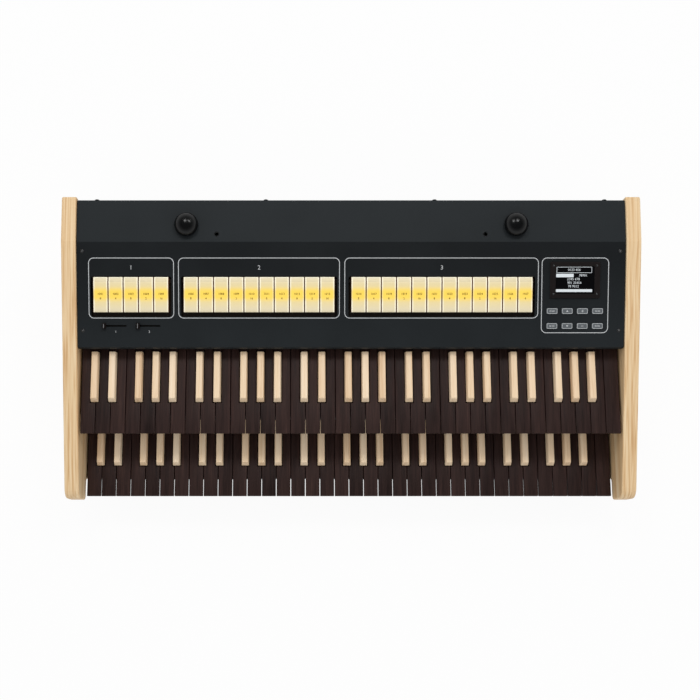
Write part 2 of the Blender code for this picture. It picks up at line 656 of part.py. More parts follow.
def display(black, glass):
    """The screen module behind the panel, and the bezel that frames it on the outside."""
    bezel_outline = rounded_box(DISPLAY_X, -DISPLAY_S, *BEZEL_SIZE, 0.0015)
    bezel = add_object("display_bezel", prism(bezel_outline, GAP, 0.0024, PANEL), black)
    window = rounded_box(DISPLAY_X, -DISPLAY_S, *SCREEN_SIZE, 0.001)
    combine(bezel, prism(window, -0.001, 0.004, PANEL), "DIFFERENCE")
    bm = bmesh.new()
    wide, deep = 0.0720, 0.0530
    glass_wide, glass_deep = SCREEN_SIZE[0] - 0.0008, SCREEN_SIZE[1] - 0.0008
    outlines = []
    for width, length, n in (
        (wide, deep, -0.0085),
        (wide, deep, -SHEET - GAP - 0.0002),
        (glass_wide, glass_deep, -SHEET - GAP),
        (glass_wide, glass_deep, 0.0014),
    ):
        outlines.append((rounded_box(DISPLAY_X, -DISPLAY_S, width, length, 0.001, 1), n))
    add_loft(bm, outlines, PANEL)
    add_object("display_module", mesh_of(bm), glass)


def rest_knobs(black):
    """Domed knobs on the rear strip that clamp a music rest; each turns on its stem."""
    skirt = KNOB_RADIUS
    profile = [(0, KNOB_HEIGHT), (0.40 * skirt, 0.0192), (0.74 * skirt, 0.0158), (0.94 * skirt, 0.0106)]
    profile += [(skirt, 0.0055), (0.86 * skirt, GAP), (0.0040, GAP)]
    profile += [(0.0040, -0.012), (0, -0.012)]
    for name, side in (("rest_knob_left", -1), ("rest_knob_right", 1)):
        up_strip = (KNOB_Y - CREASE_Y) / math.cos(STRIP_SLOPE)
        frame = STRIP @ Matrix.Translation((side * KNOB_X, up_strip, 0))
        add_object(name, turned(profile, 20, frame), black, frame.translation)


def electronics(green, metal, black):
    floor = CASE_BOTTOM_Z + SHEET
    board_low = floor + 0.0065 + GAP
    board_high = board_low + 0.0016
    main = add_object("main_board", prism(box(-0.160, 0.140, 0.065, 0.170), board_low, board_high), green)
    sunk = board_high - 0.0003
    parts = [
        (box(-0.040, -0.006, 0.095, 0.129), sunk, board_high + 0.006, LEVEL),
        (box(0.012, 0.030, 0.100, 0.128), sunk, board_high + 0.003, LEVEL),
        (box(-0.120, -0.080, 0.074, 0.082), sunk, board_high + 0.009, LEVEL),
        (box(0.050, 0.110, 0.074, 0.082), sunk, board_high + 0.009, LEVEL),
    ]
    for x in (0.075, 0.092, 0.109):
        parts.append((circle(x, 0.130, 0.0063, 12), sunk, board_high + 0.016, LEVEL))
    combine(main, prisms(parts), "UNION")

    housing = prism(rounded_box(0.300, 0.130, 0.140, 0.090, 0.002), floor + GAP, 0.056)
    supply = add_object("power_supply", housing, metal)
    ear_top = floor + GAP + 0.002
    ears = [(box(0.218, 0.382, y, y + 0.020), floor + GAP, ear_top, LEVEL) for y in (0.095, 0.145)]
    combine(supply, prisms(ears), "UNION")

    # Four round sockets stand on one small board behind the rear panel, with their faces in its holes
    row_low, row_high = SOCKET_X[0] - 0.014, SOCKET_X[-1] + 0.014
    socket_floor = SOCKET_Z - 0.0095
    base = box(row_low, row_high, 0.178, REAR_PANEL_Y - SHEET - 0.002)
    sockets = add_object("socket_row", prism(base, socket_floor - 0.0016, socket_floor), black)
    frame = rear_facing(REAR_PANEL_Y)
    bodies = []
    barrels = []
    for x in SOCKET_X:
        shell = box(x - 0.010, x + 0.010, socket_floor - 0.0004, SOCKET_Z + 0.0095)
        bodies.append((shell, SHEET + GAP, SHEET + GAP + 0.013, frame))
        barrels.append((circle(x, SOCKET_Z, SOCKET_RADIUS, 12), -0.0004, SHEET + 0.004, frame))
    for left in (row_low, row_high - 0.003):
        leg = box(left, left + 0.003, CASE_BOTTOM_Z + SHEET + GAP, socket_floor)
        bodies.append((leg, 0.020, 0.040, frame))
    combine(sockets, prisms(bodies), "UNION")
    combine(sockets, prisms(barrels), "UNION")


def mains_module(black):
    """The mains inlet and its switch in one moulding, and the rocker that tips in it."""
    frame = rear_facing(REAR_PANEL_Y)
    outline = rounded_box(INLET_X, INLET_Z, 0.0580, 0.0330, 0.003)
    inlet = add_object("power_inlet", prism(outline, -0.0025, -GAP, frame), black)
    body = rounded_box(INLET_X, INLET_Z, 0.0490, 0.0266, 0.002)
    combine(inlet, prism(body, -0.0010, 0.0230, frame), "UNION")
    inlet_left, inlet_right = INLET_X - 0.0215, INLET_X + 0.0035
    low, high = INLET_Z - 0.0085, INLET_Z + 0.0085
    cavity = [(inlet_left, low), (inlet_right, low), (inlet_right, high - 0.004), (inlet_right - 0.004, high)]
    cavity += [(inlet_left + 0.004, high), (inlet_left, high - 0.004)]
    seat_x = INLET_X + 0.0145
    seat = box(seat_x - 0.0067, seat_x + 0.0067, INLET_Z - 0.0105, INLET_Z + 0.0105)
    combine(inlet, prisms([(cavity, -0.01, 0.0165, frame), (seat, -0.01, 0.0150, frame)]), "DIFFERENCE")
    # The rocker's side view: a flat V on a round hub, at rest with its lower half pressed in
    depth = REAR_PANEL_Y - 0.0040
    side_view = [(-0.0055, -0.0008), (-0.0055, 0.0008), (0.0020, 0.0100), (0.0034, 0.0098), (0.0022, 0.0)]
    side_view += [(0.0034, -0.0098), (0.0020, -0.0100)]
    tilt = Matrix.Translation((0, depth, INLET_Z)) @ Matrix.Rotation(math.radians(-7), 4, "X")
    rocker = prism(side_view, seat_x - 0.0062, seat_x + 0.0062, tilt @ UPRIGHT)
    add_object("power_rocker", rocker, black, (seat_x, depth, INLET_Z))


def feet(rubber):
    profile = [(0, CASE_BOTTOM_Z - GAP), (0.0140, CASE_BOTTOM_Z - GAP), (0.0140, 0.0030), (0.0125, 0), (0, 0)]
    for name, x, y in (
        ("foot_front_left", -0.390, -0.150),
        ("foot_front_right", 0.390, -0.150),
        ("foot_rear_left", -0.390, 0.190),
        ("foot_rear_right", 0.390, 0.190),
    ):
        add_object(name, turned(profile, 16, Matrix.Translation((x, y, 0))), rubber, (x, y, 0))


def build():
    for item in list(bpy.data.objects):
        bpy.data.objects.remove(item, do_unlink=True)
    wood = finish("pale_wood", (0.74, 0.50, 0.27), 0.5)
    paint = finish("charcoal_paint", (0.022, 0.026, 0.030), 0.45, 0.3)
    naturals = finish("dark_wood_key", (0.045, 0.022, 0.017), 0.45)
    sharps = finish("pale_wood_key", (0.80, 0.58, 0.37), 0.4)
    cream = finish("lit_cream_plastic", (0.80, 0.70, 0.45), 0.35)
    black = finish("black_plastic", (0.012, 0.012, 0.013), 0.25)
    grey = finish("grey_plastic", (0.10, 0.12, 0.13), 0.45)
    glass = finish("screen_glass", (0.01, 0.01, 0.012), 0.1)
    green = finish("circuit_board", (0.02, 0.14, 0.06), 0.5)
    metal = finish("bare_metal", (0.55, 0.56, 0.58), 0.35, 1.0)
    rubber = finish("rubber", (0.02, 0.02, 0.02), 0.85)

    side_panels(wood)
    bottom_tray(paint)
    rear_panel(paint)
    top_cover(paint)
    key_frames(paint)
    manual_banks("lower", LOWER_FRONT_Y, LOWER_TOP_Z, None, naturals)
    manual_banks("upper", UPPER_FRONT_Y, UPPER_TOP_Z, LOOSE_OCTAVE, naturals)
    single_keys(naturals, sharps, metal)
    tabs(cream)
    panel_board(green)
    menu_buttons(grey)
    slider_caps(black)
    display(black, glass)
    rest_knobs(black)
    electronics(green, metal, black)
    mains_module(black)
    feet(rubber)


build()
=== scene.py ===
# Finishes and fine pieces of a portable electronic organ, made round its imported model.
# Metres, +Z up; X runs from bass to treble and Y from the player to the rear.

import math

import bmesh
import bpy
import numpy as np
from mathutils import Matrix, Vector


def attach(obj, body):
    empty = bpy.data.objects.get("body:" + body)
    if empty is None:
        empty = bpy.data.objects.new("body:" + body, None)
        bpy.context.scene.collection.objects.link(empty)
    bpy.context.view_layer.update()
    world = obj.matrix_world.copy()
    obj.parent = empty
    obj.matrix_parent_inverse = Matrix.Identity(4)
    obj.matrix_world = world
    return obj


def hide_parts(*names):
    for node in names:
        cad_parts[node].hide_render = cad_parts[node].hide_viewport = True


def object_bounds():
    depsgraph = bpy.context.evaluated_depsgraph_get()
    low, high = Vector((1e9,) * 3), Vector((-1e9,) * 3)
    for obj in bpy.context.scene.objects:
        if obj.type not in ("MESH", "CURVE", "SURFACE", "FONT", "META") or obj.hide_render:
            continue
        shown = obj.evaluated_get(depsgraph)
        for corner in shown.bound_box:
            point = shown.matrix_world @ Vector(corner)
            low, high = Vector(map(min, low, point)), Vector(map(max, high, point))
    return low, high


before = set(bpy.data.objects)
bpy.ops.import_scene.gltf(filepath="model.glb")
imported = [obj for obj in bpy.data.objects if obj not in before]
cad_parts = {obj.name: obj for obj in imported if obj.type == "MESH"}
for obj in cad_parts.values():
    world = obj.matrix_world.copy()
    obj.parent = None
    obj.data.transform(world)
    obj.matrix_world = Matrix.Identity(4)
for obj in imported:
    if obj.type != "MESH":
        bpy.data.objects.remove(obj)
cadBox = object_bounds()

case = {
    "keyPitch": 0.0235,      # from natural to natural
    "panelFrontZ": 0.1711,   # the control panel's lower edge, at y = 0
    "panelRise": 0.2345,     # its slope, as a rise over a run
    "panelTopY": 0.164,      # from here, on the panel's plane, s counts down the panel
    "creaseY": 0.159,        # where the control panel meets the rear strip
    "stripRise": 0.065,
    "printHeight": 0.00006,  # of printing above what carries it
    "printEdge": 0.00001,
    "lineWidth": 0.0011,
}


def linear(red, green, blue):
    # a screen colour from 0 to 255, as the linear values that shaders take
    value = np.array([red, green, blue]) / 255
    light = np.where(value <= 0.04045, value / 12.92, ((value + 0.055) / 1.055) ** 2.4)
    return tuple(float(part) for part in light)


class Signal:
    # a socket among a shader's nodes, on which Python's operators add Math nodes
    def __init__(self, shaderNodes, socket):
        self.shaderNodes = shaderNodes
        self.socket = socket

    def maths(self, operation, other=0.0, swapped=False):
        first, second = (other, self) if swapped else (self, other)
        return self.shaderNodes.node("ShaderNodeMath", {"operation": operation}, {0: first, 1: second})

    def __add__(self, other):
        return self.maths("ADD", other)

    def __sub__(self, other):
        return self.maths("SUBTRACT", other)

    def __rsub__(self, other):
        return self.maths("SUBTRACT", other, True)

    def __mul__(self, other):
        return self.maths("MULTIPLY", other)

    __radd__ = __add__
    __rmul__ = __mul__


class ShaderNodes:
    # the nodes of one shader: node adds any kind, and the methods after it are short ways to the usual ones
    def __init__(self, tree):
        self.tree = tree

    def feed(self, socket, value):
        if isinstance(value, Signal):
            self.tree.links.new(value.socket, socket)
        else:
            socket.default_value = value

    def node(self, kind, settings, sockets, output=0):
        made = self.tree.nodes.new(kind)
        for name, value in settings.items():
            if name == "stops":
                elements = made.color_ramp.elements
                while len(elements) < len(value):
                    elements.new(0.5)
                for element, (position, colour) in zip(elements, value):
                    element.position = position
                    element.color = (*colour, 1.0)
            else:
                setattr(made, name, value)
        for name, value in sockets.items():
            self.feed(made.inputs[name], value)
        return Signal(self, made.outputs[output])

    def place(self):
        return self.node("ShaderNodeTexCoord", {}, {}, "Object")

    def axes(self, vector):
        split = self.node("ShaderNodeSeparateXYZ", {}, {0: vector})
        return [Signal(self, socket) for socket in split.socket.node.outputs]

    def noise(self, stretch, detail=4.0, roughness=0.55):
        # noise on Object coordinates, with so many grains to the metre along X, Y and Z
        scaled = self.node("ShaderNodeMapping", {}, {"Vector": self.place(), "Scale": stretch})
        sockets = {"Vector": scaled, "Scale": 1.0, "Detail": detail, "Roughness": roughness}
        return self.node("ShaderNodeTexNoise", {}, sockets)

    def ramp(self, value, stops):
        return self.node("ShaderNodeValToRGB", {"stops": stops}, {0: value})

    def fade(self, value, start, end):
        # 0 at start and 1 at end, with soft shoulders
        settings = {"interpolation_type": "SMOOTHSTEP"}
        sockets = {"Value": value, "From Min": start, "From Max": end, "To Min": 0.0, "To Max": 1.0}
        return self.node("ShaderNodeMapRange", settings, sockets)

    def blend(self, factor, first, second):
        first = first if isinstance(first, Signal) else (*first, 1.0)
        second = second if isinstance(second, Signal) else (*second, 1.0)
        return self.node("ShaderNodeMix", {"data_type": "RGBA"}, {0: factor, 6: first, 7: second}, 2)


class Finish(ShaderNodes):
    # one material, with its Principled shader
    def __init__(self, name, colour, roughness, metallic=0.0, specular=0.5):
        self.material = bpy.data.materials.new(name)
        self.material.use_nodes = True
        super().__init__(self.material.node_tree)
        self.shader = self.tree.nodes["Principled BSDF"]
        self.set("Base Color", (*colour, 1.0))
        self.set("Roughness", roughness)
        self.set("Metallic", metallic)
        self.set("Specular IOR Level", specular)
        self.material.diffuse_color = (*colour, 1.0)

    def set(self, name, value):
        self.feed(self.shader.inputs[name], value)

    def bump(self, height, distance):
        self.set("Normal", self.node("ShaderNodeBump", {}, {"Distance": distance, "Height": height}))


def paleWoodFinish():
    # lacquered side panels: straight grain along Y, in fine streaks over broad bands; the grain of the
    # outer faces is laid across Z, and that of the edges across X
    wood = Finish("paleWood", linear(228, 195, 151), 0.45, specular=0.25)
    streaks = wood.noise((900, 1.6, 90), 1.0, 0.5)
    bands = wood.noise((330, 0.7, 45), 1.0, 0.5)
    faces = wood.noise((60, 1.6, 420), 3.0, 0.5)
    x, _, _ = wood.axes(wood.place())
    outerX = float(cadBox[1][0])
    outer = wood.fade(x.maths("ABSOLUTE"), outerX - 0.0010, outerX - 0.0001)
    grain = (streaks * 0.4 + bands * 0.6) * (1 - outer) + faces * outer
    wood.set("Base Color", wood.ramp(grain, (
        (0.36, linear(214, 172, 124)),
        (0.45, linear(228, 192, 145)),
        (0.53, linear(237, 206, 162)),
        (0.66, linear(244, 218, 178)),
    )))
    wood.set("Roughness", grain * 0.25 + 0.32)
    wood.bump(streaks, 0.00012)
    return wood.material


def keyWoodFinish(name, stops, shift, spread):
    # key wood: long fine pores, with each key a little lighter or darker than the next
    wood = Finish(name, stops[1][1], 0.5, specular=0.2)
    pores = wood.noise((900, 26, 500), 5.0, 0.62)
    bands = wood.noise((160, 5, 90), 2.0)
    x, _, _ = wood.axes(wood.place())
    cell = (x * (1 / case["keyPitch"]) + shift).maths("FLOOR")
    chance = wood.node("ShaderNodeTexWhiteNoise", {"noise_dimensions": "1D"}, {"W": cell})
    grain = pores * 0.6 + bands * 0.4 + (chance - 0.5) * spread
    wood.set("Base Color", wood.ramp(grain, stops))
    wood.set("Roughness", grain * 0.3 + 0.34)
    wood.bump(pores, 0.00015)
    return wood.material


def paintFinish():
    # charcoal powder coat with a fine orange-peel texture; painted light makes the same sheet a shade
    # lighter on the rear strip and near the player
    paint = Finish("charcoalPaint", linear(30, 34, 37), 0.5, specular=0.2)
    peel = paint.noise((1500, 1500, 1500), 2.0)
    cloud = paint.noise((9, 9, 9), 2.0)
    _, y, _ = paint.axes(paint.place())
    # painted light: a shade lighter towards the player, and on the rear strip behind the crease
    near = paint.fade(y, 0.150, 0.0) * 0.25
    rear = paint.fade(y, case["creaseY"] - 0.0005, case["creaseY"] + 0.0005) * 0.3
    toneAndPaintedLight = peel * 0.3 + cloud * 0.3 + rear.maths("MAXIMUM", near)
    paint.set("Base Color", paint.ramp(toneAndPaintedLight, ((0.25, linear(19, 23, 26)), (0.60, linear(34, 39, 42)))))
    paint.set("Roughness", peel * 0.3 + 0.4)
    paint.bump(peel, 0.00006)
    return paint.material


def plasticFinish(name, colour, roughness, specular=0.5, grain=0.00002):
    # moulded plastic, with a fine spark-eroded grain and faint handling marks
    plastic = Finish(name, colour, roughness, specular=specular)
    spark = plastic.noise((2600, 2600, 2600), 2.0)
    smear = plastic.noise((60, 60, 60), 3.0)
    plastic.set("Roughness", smear * 0.2 + (roughness - 0.1))
    darker = tuple(part * 0.86 for part in colour)
    plastic.set("Base Color", plastic.blend(spark, darker, colour))
    plastic.bump(spark, grain)
    return plastic.material


def litTabFinish():
    # translucent cream plastic lit from below, glowing warm in the middle; painted highlights on the side
    # rims and the upper end, painted shade at the step, and at the sides painted shade of the gaps between
    # tabs, brown with their orange glow; the UV map runs across a tab and along it from its upper end
    tab = Finish("litCreamPlastic", linear(231, 214, 165), 0.38, specular=0.3)
    across, along, _ = tab.axes(tab.node("ShaderNodeTexCoord", {}, {}, "UV"))
    fromSide = across.maths("MINIMUM", 1 - across)
    fromMiddle = (along - 0.49).maths("ABSOLUTE")
    warmth = 1 - tab.fade(fromMiddle, 0.07, 0.25)
    halo = 1 - tab.fade(fromMiddle, 0.15, 0.50)
    # painted highlights on the side rims and the upper end, painted shade at the step, and painted shade of
    # the gaps between tabs at the sides
    rim = 1 - tab.fade(fromSide, 0.02, 0.15)
    paintedEndHighlight = 1 - tab.fade(along, 0.01, 0.035)
    step = 1 - tab.fade((along - 0.115).maths("ABSOLUTE"), 0.006, 0.018)
    side = 1 - tab.fade(fromSide, 0.005, 0.04)
    pale = (rim * (1 - warmth * 0.7)).maths("MAXIMUM", paintedEndHighlight * 0.8)
    body = tab.blend(halo * 0.6, linear(224, 212, 180), linear(240, 216, 140))
    body = tab.blend(warmth * 0.85, body, linear(255, 218, 74))
    body = tab.blend(step * 0.45, body, linear(186, 172, 138))
    body = tab.blend(pale, body, linear(255, 250, 226))
    tab.set("Base Color", tab.blend(side, body, linear(110, 58, 12)))
    tab.set("Emission Color", tab.blend(side, body, linear(110, 52, 6)))
    tab.set("Emission Strength", 0.14)
    tab.bump(tab.noise((1800, 1800, 1800), 2.0), 0.00002)
    return tab.material


def glowFinish(name, colour, strength):
    # ink, or with some strength a lit colour, a little uneven
    glow = Finish(name, colour, 0.6, specular=0.1)
    flicker = glow.noise((900, 900, 900), 2.0)
    lit = glow.blend(flicker, tuple(part * 0.8 for part in colour), colour)
    glow.set("Base Color", lit)
    glow.set("Emission Color", lit)
    glow.set("Emission Strength", strength)
    return glow.material


def metalFinish(name, colour, roughness, stretch):
    # bare metal, brushed along the axis on which the stretch is least
    metal = Finish(name, colour, roughness, metallic=1.0)
    brushed = metal.noise(stretch, 4.0)
    metal.set("Base Color", metal.blend(brushed, tuple(part * 0.75 for part in colour), colour))
    metal.set("Roughness", brushed * 0.3 + (roughness - 0.1))
    metal.bump(brushed, 0.00003)
    return metal.material


def boardFinish(name, mask, trace):
    # solder mask over a faint lattice of tracks
    board = Finish(name, mask, 0.4)
    x, y, _ = board.axes(board.place())
    lattice = (x * 1200).maths("SINE") * (y * 900).maths("SINE")
    tracks = board.fade(lattice + board.noise((140, 140, 140), 3.0) * 0.8, 0.55, 0.65)
    board.set("Base Color", board.blend(tracks, mask, trace))
    board.bump(tracks, 0.00003)
    return board.material


finishes = {
    "paleWood": paleWoodFinish(),
    "darkKey": keyWoodFinish("darkWoodKey", (
        (0.30, linear(29, 17, 15)),
        (0.46, linear(46, 30, 27)),
        (0.60, linear(57, 38, 34)),
        (0.75, linear(74, 51, 45)),
    ), 18.0, 0.16),
    "paleKey": keyWoodFinish("paleWoodKey", (
        (0.28, linear(226, 190, 150)),
        (0.45, linear(243, 214, 178)),
        (0.58, linear(249, 223, 190)),
        (0.75, linear(254, 234, 206)),
    ), 18.5, 0.22),
    "paint": paintFinish(),
    "cream": litTabFinish(),
    "blackGloss": plasticFinish("blackGlossPlastic", linear(11, 12, 13), 0.2, 0.28, 0.000002),
    "blackSatin": plasticFinish("blackSatinPlastic", linear(27, 21, 21), 0.45, 0.2),
    "greyPlastic": plasticFinish("greyPlastic", linear(98, 103, 107), 0.5, 0.3),
    "screenGlass": plasticFinish("screenGlass", linear(7, 7, 9), 0.12, 0.2, 0.0),
    "print": glowFinish("greyPrint", linear(206, 209, 211), 0.0),
    "tabPrint": glowFinish("brownPrint", linear(112, 72, 10), 0.0),
    "screenLight": glowFinish("screenLight", linear(214, 220, 224), 0.25),
    "board": boardFinish("greenBoard", linear(14, 78, 48), linear(38, 118, 74)),
    "darkBoard": boardFinish("darkBoard", linear(30, 19, 13), linear(44, 28, 18)),
    "bareMetal": metalFinish("bareMetal", (0.55, 0.56, 0.58), 0.4, (30, 900, 900)),
    "steel": metalFinish("groundSteel", (0.62, 0.63, 0.65), 0.3, (900, 40, 900)),
    "brass": metalFinish("plainBrass", (0.75, 0.58, 0.30), 0.35, (500, 500, 500)),
    "screwBlack": plasticFinish("blackScrew", linear(26, 27, 29), 0.3, 0.6),
    "rubber": plasticFinish("blackRubber", linear(30, 30, 30), 0.85, 0.2, 0.00008),
}
print("finishes made")


def panelZ(y):
    # height of the control panel's plane
    return case["panelFrontZ"] + y * case["panelRise"]


def onPanel(a, b, c):
    # a along X, b up the panel's slope, c out of the panel
    slope = math.atan(case["panelRise"])
    y = case["panelTopY"] + b * math.cos(slope) - c * math.sin(slope)
    z = panelZ(case["panelTopY"]) + b * math.sin(slope) + c * math.cos(slope)
    return np.stack([a, y, z], axis=-1)


def sideOfPanel(a, b, c):
    # for side views of what stands on the panel: a up the slope, b out of it, c along X
    return onPanel(c, a, b)


def onStrip(middleX, middleY):
    # a and b on the rear strip about a point of it, c out of it
    slope = math.atan(case["stripRise"])
    middleZ = panelZ(case["creaseY"]) + (middleY - case["creaseY"]) * case["stripRise"]

    def place(a, b, c):
        y = middleY + b * math.cos(slope) - c * math.sin(slope)
        z = middleZ + b * math.sin(slope) + c * math.cos(slope)
        return np.stack([middleX + a, y, z], axis=-1)

    return place


def atLevel(originX, originY, originZ):
    # a along X, b along Y, c up
    return lambda a, b, c: np.stack([originX + a, originY + b, originZ + c], axis=-1)


def onRear(originX, y, originZ):
    # a along X, b up, c out of the rear face
    return lambda a, b, c: np.stack([originX - a, y + c, originZ + b], axis=-1)


def alongX(originY, originZ):
    # a along Y, b up, c along X
    return lambda a, b, c: np.stack([c, originY + a, originZ + b], axis=-1)


def about(place, a0, b0, c0=0.0):
    # another place's axes, counted from a point of it
    return lambda a, b, c: place(a0 + a, b0 + b, c0 + c)


def roundedOutline(corners, steps=3):
    # corners (a, b, radius) anticlockwise, each turned into an arc between its two edges
    points = []
    count = len(corners)
    for i, (a, b, radius) in enumerate(corners):
        corner = np.array([a, b])
        if radius == 0:
            points.append(corner)
            continue
        before = np.array(corners[i - 1][:2]) - corner
        after = np.array(corners[(i + 1) % count][:2]) - corner
        before = before / np.linalg.norm(before)
        after = after / np.linalg.norm(after)
        half = math.acos(np.clip(before @ after, -1, 1)) / 2
        middle = corner + (before + after) / np.linalg.norm(before + after) * radius / math.sin(half)
        start = corner + before * radius / math.tan(half) - middle
        end = corner + after * radius / math.tan(half) - middle
        for t in np.linspace(0, 1, steps + 1):
            spoke = start * (1 - t) + end * t
            points.append(middle + spoke / np.linalg.norm(spoke) * radius)
    return np.array(points)


def roundedRectangle(a, b, width, length, radius, steps=3):
    # a rectangle about the point (a, b), with its corners rounded
    signs = ((-1, -1), (1, -1), (1, 1), (-1, 1))
    corners = [(a + signA * width / 2, b + signB * length / 2, radius) for signA, signB in signs]
    return roundedOutline(corners, steps)


def insetOutline(outline, inset):
    # every corner moves inwards until both of its edges have shifted by the inset
    before = outline - np.roll(outline, 1, axis=0)
    after = np.roll(before, -1, axis=0)
    normalBefore = np.stack([-before[:, 1], before[:, 0]], axis=1) / np.linalg.norm(before, axis=1)[:, None]
    normalAfter = np.stack([-after[:, 1], after[:, 0]], axis=1) / np.linalg.norm(after, axis=1)[:, None]
    both = normalBefore + normalAfter
    return outline + inset * both / (1 + (normalBefore * normalAfter).sum(axis=1))[:, None]


def ringsShape(rings, place, closedPath=False):
    # rings of as many points (a, b, c), joined in turn; open rows are closed by a face at each end
    rings = np.array(rings)
    rows, columns = rings.shape[:2]
    points = place(rings[..., 0], rings[..., 1], rings[..., 2]).reshape(-1, 3)
    grid = np.arange(rows * columns).reshape(rows, columns)
    upper = np.roll(grid, -1, axis=0) if closedPath else grid[1:]
    lower = grid if closedPath else grid[:-1]
    quads = np.stack([lower, np.roll(lower, -1, axis=1), np.roll(upper, -1, axis=1), upper], axis=-1)
    faces = quads.reshape(-1, 4).tolist()
    if not closedPath:
        faces += [grid[0][::-1].tolist(), grid[-1].tolist()]
    return points, faces


def roundedPrism(outline, low, high, radius, place, steps=3, ends=(True, True)):
    # the outline from low to high; near a rounded end it shrinks by radius * (1 - cos) while it rises by
    # radius * sin
    angle = np.linspace(0, math.pi / 2, steps + 1)
    insets = [radius * (1 - np.cos(angle[::-1])) if ends[0] else np.zeros(1)]
    heights = [low + radius - radius * np.sin(angle[::-1]) if ends[0] else np.array([low])]
    insets.append(radius * (1 - np.cos(angle)) if ends[1] else np.zeros(1))
    heights.append(high - radius + radius * np.sin(angle) if ends[1] else np.array([high]))
    rings = []
    for inset, height in zip(np.concatenate(insets), np.concatenate(heights)):
        ring = insetOutline(outline, inset)
        rings.append(np.column_stack([ring, np.full(len(ring), height)]))
    return ringsShape(rings, place)


def turnedShape(profile, place, sides=48):
    # a profile (radius, height) turned about the c axis: a = radius * cos and b = radius * sin; it starts
    # and ends at a radius next to nothing
    angle = np.linspace(0, 2 * math.pi, sides, endpoint=False)
    rings = []
    for radius, height in profile:
        ring = np.stack([radius * np.cos(angle), radius * np.sin(angle), np.full(sides, height)], axis=1)
        rings.append(ring)
    return ringsShape(rings, place)


def lineLoop(outline, width, height, place):
    # a printed line: a flat closed bead carried round an outline, from a fifth of its height to the whole
    outer, inner = insetOutline(outline, -width / 2), insetOutline(outline, width / 2)
    low, high = np.full(len(outline), height * 0.2), np.full(len(outline), height)
    beads = [np.column_stack(pair) for pair in ((outer, low), (outer, high), (inner, high), (inner, low))]
    return ringsShape(beads, place, True)


def printedShape(outline, level):
    # a flat form on the panel, printed on what lies level metres above the panel's plane
    low, high = level + case["printEdge"], level + case["printHeight"]
    return roundedPrism(outline, low, high, case["printEdge"], onPanel, 1)


def addPiece(name, shapes, finish, body, nodes=(), sharpAngle=40, uv=None):
    # one mesh of all the shapes, riding on its body
    points, faces = [], []
    for shapePoints, shapeFaces in shapes:
        start = sum(len(part) for part in points)
        points.append(shapePoints)
        faces += [[index + start for index in face] for face in shapeFaces]
    allPoints = np.concatenate(points)
    mesh = bpy.data.meshes.new(name)
    mesh.from_pydata(allPoints.tolist(), [], faces)
    working = bmesh.new()
    working.from_mesh(mesh)
    bmesh.ops.recalc_face_normals(working, faces=working.faces)
    working.to_mesh(mesh)
    working.free()
    if uv is not None:
        corner = np.empty(len(mesh.loops), dtype=np.int32)
        mesh.loops.foreach_get("vertex_index", corner)
        layer = mesh.uv_layers.new(name="UVMap")
        layer.data.foreach_set("uv", np.concatenate(uv)[corner].astype(np.float32).ravel())
    mesh.shade_smooth()
    mesh.set_sharp_from_angle(angle=math.radians(sharpAngle))
    mesh.materials.append(finishes[finish])
    piece = bpy.data.objects.new(name, mesh)
    bpy.context.scene.collection.objects.link(piece)
    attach(piece, body)
    if nodes:
        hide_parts(*nodes)


numeralShapes = {}


def numeral(text, size):
    # a plain number as a thin shape about its middle, from Blender's own font
    if (text, size) not in numeralShapes:
        curve = bpy.data.curves.new("numeral", "FONT")
        curve.body = text
        curve.size = size
        curve.align_x = "CENTER"
        curve.align_y = "CENTER"
        curve.resolution_u = 2
        curve.extrude = case["printHeight"] / 2
        item = bpy.data.objects.new("numeral", curve)
        bpy.context.scene.collection.objects.link(item)
        mesh = bpy.data.meshes.new_from_object(item.evaluated_get(bpy.context.evaluated_depsgraph_get()))
        shape = np.array([vertex.co[:] for vertex in mesh.vertices])
        numeralShapes[(text, size)] = shape, [list(face.vertices) for face in mesh.polygons]
        bpy.data.objects.remove(item)
        bpy.data.curves.remove(curve)
        bpy.data.meshes.remove(mesh)
    return numeralShapes[(text, size)]


def numeralOnPanel(text, size, x, s, n):
    # a number on the panel, s down it and n out of it
    shape, faces = numeral(text, size)
    return onPanel(x + shape[:, 0], shape[:, 1] - s, shape[:, 2] + n), faces


# Manuals
keys = {
    "pitch": case["keyPitch"],
    "naturals": 7,               # in an octave
    "octaves": 5,
    "bassX": -0.423,
    "gap": 0.00115,
    "head": 0.048,
    "plate": 0.006,
    "overhang": 0.028,
    "depth": 0.020,
    "levelEnd": 0.205,           # from here a thin tail reaches back to the hinge
    "bankEnd": 0.235,
    "singleEnd": 0.2315,
    "tail": (-0.0125, -0.0040),  # its underside and top
    "tailCorner": 0.0005,
    "tailEdge": 0.0004,
    "frontCorner": 0.0008,
    "plateEdge": 0.00056,
    "woodEdge": 0.0003,
    "woodGap": 0.00005,          # between a plate or a cap and the wood below it
}
sharps = {
    "start": 0.0493,
    "end": 0.1285,
    "width": 0.012,
    "topWidth": 0.0096,
    "height": 0.011,
    "foot": -0.001,
    "frontSlope": 0.0047,
    "rearSlope": 0.0005,
    "edge": 0.0013,
    "corner": 0.0009,
    "woodCorner": 0.0006,
    "sideGap": 0.0012,
    "tail": (-0.0125, -0.0045),
    "offsets": {1: -0.0019, 2: 0.0023, 4: -0.0031, 5: 0.0, 6: 0.0031},  # from the naturals' gaps
}
hingeBar = {
    # its middle, behind the bank's end and up; its depth, height and corner radius
    "section": (0.001, -0.0135, 0.012, 0.021, 0.002),
    "bassMargin": 0.009,
    "trebleMargin": 0.006,
    "edge": 0.0005,
}
manuals = {"lower": (-0.224, 0.072), "upper": (-0.1305, 0.142)}  # the keys' fronts and tops
looseOctave = 3  # of the upper manual, with twelve single keys
noteNames = ("c", "c_sharp", "d", "d_sharp", "e", "f", "f_sharp", "g", "g_sharp", "a", "a_sharp", "b")


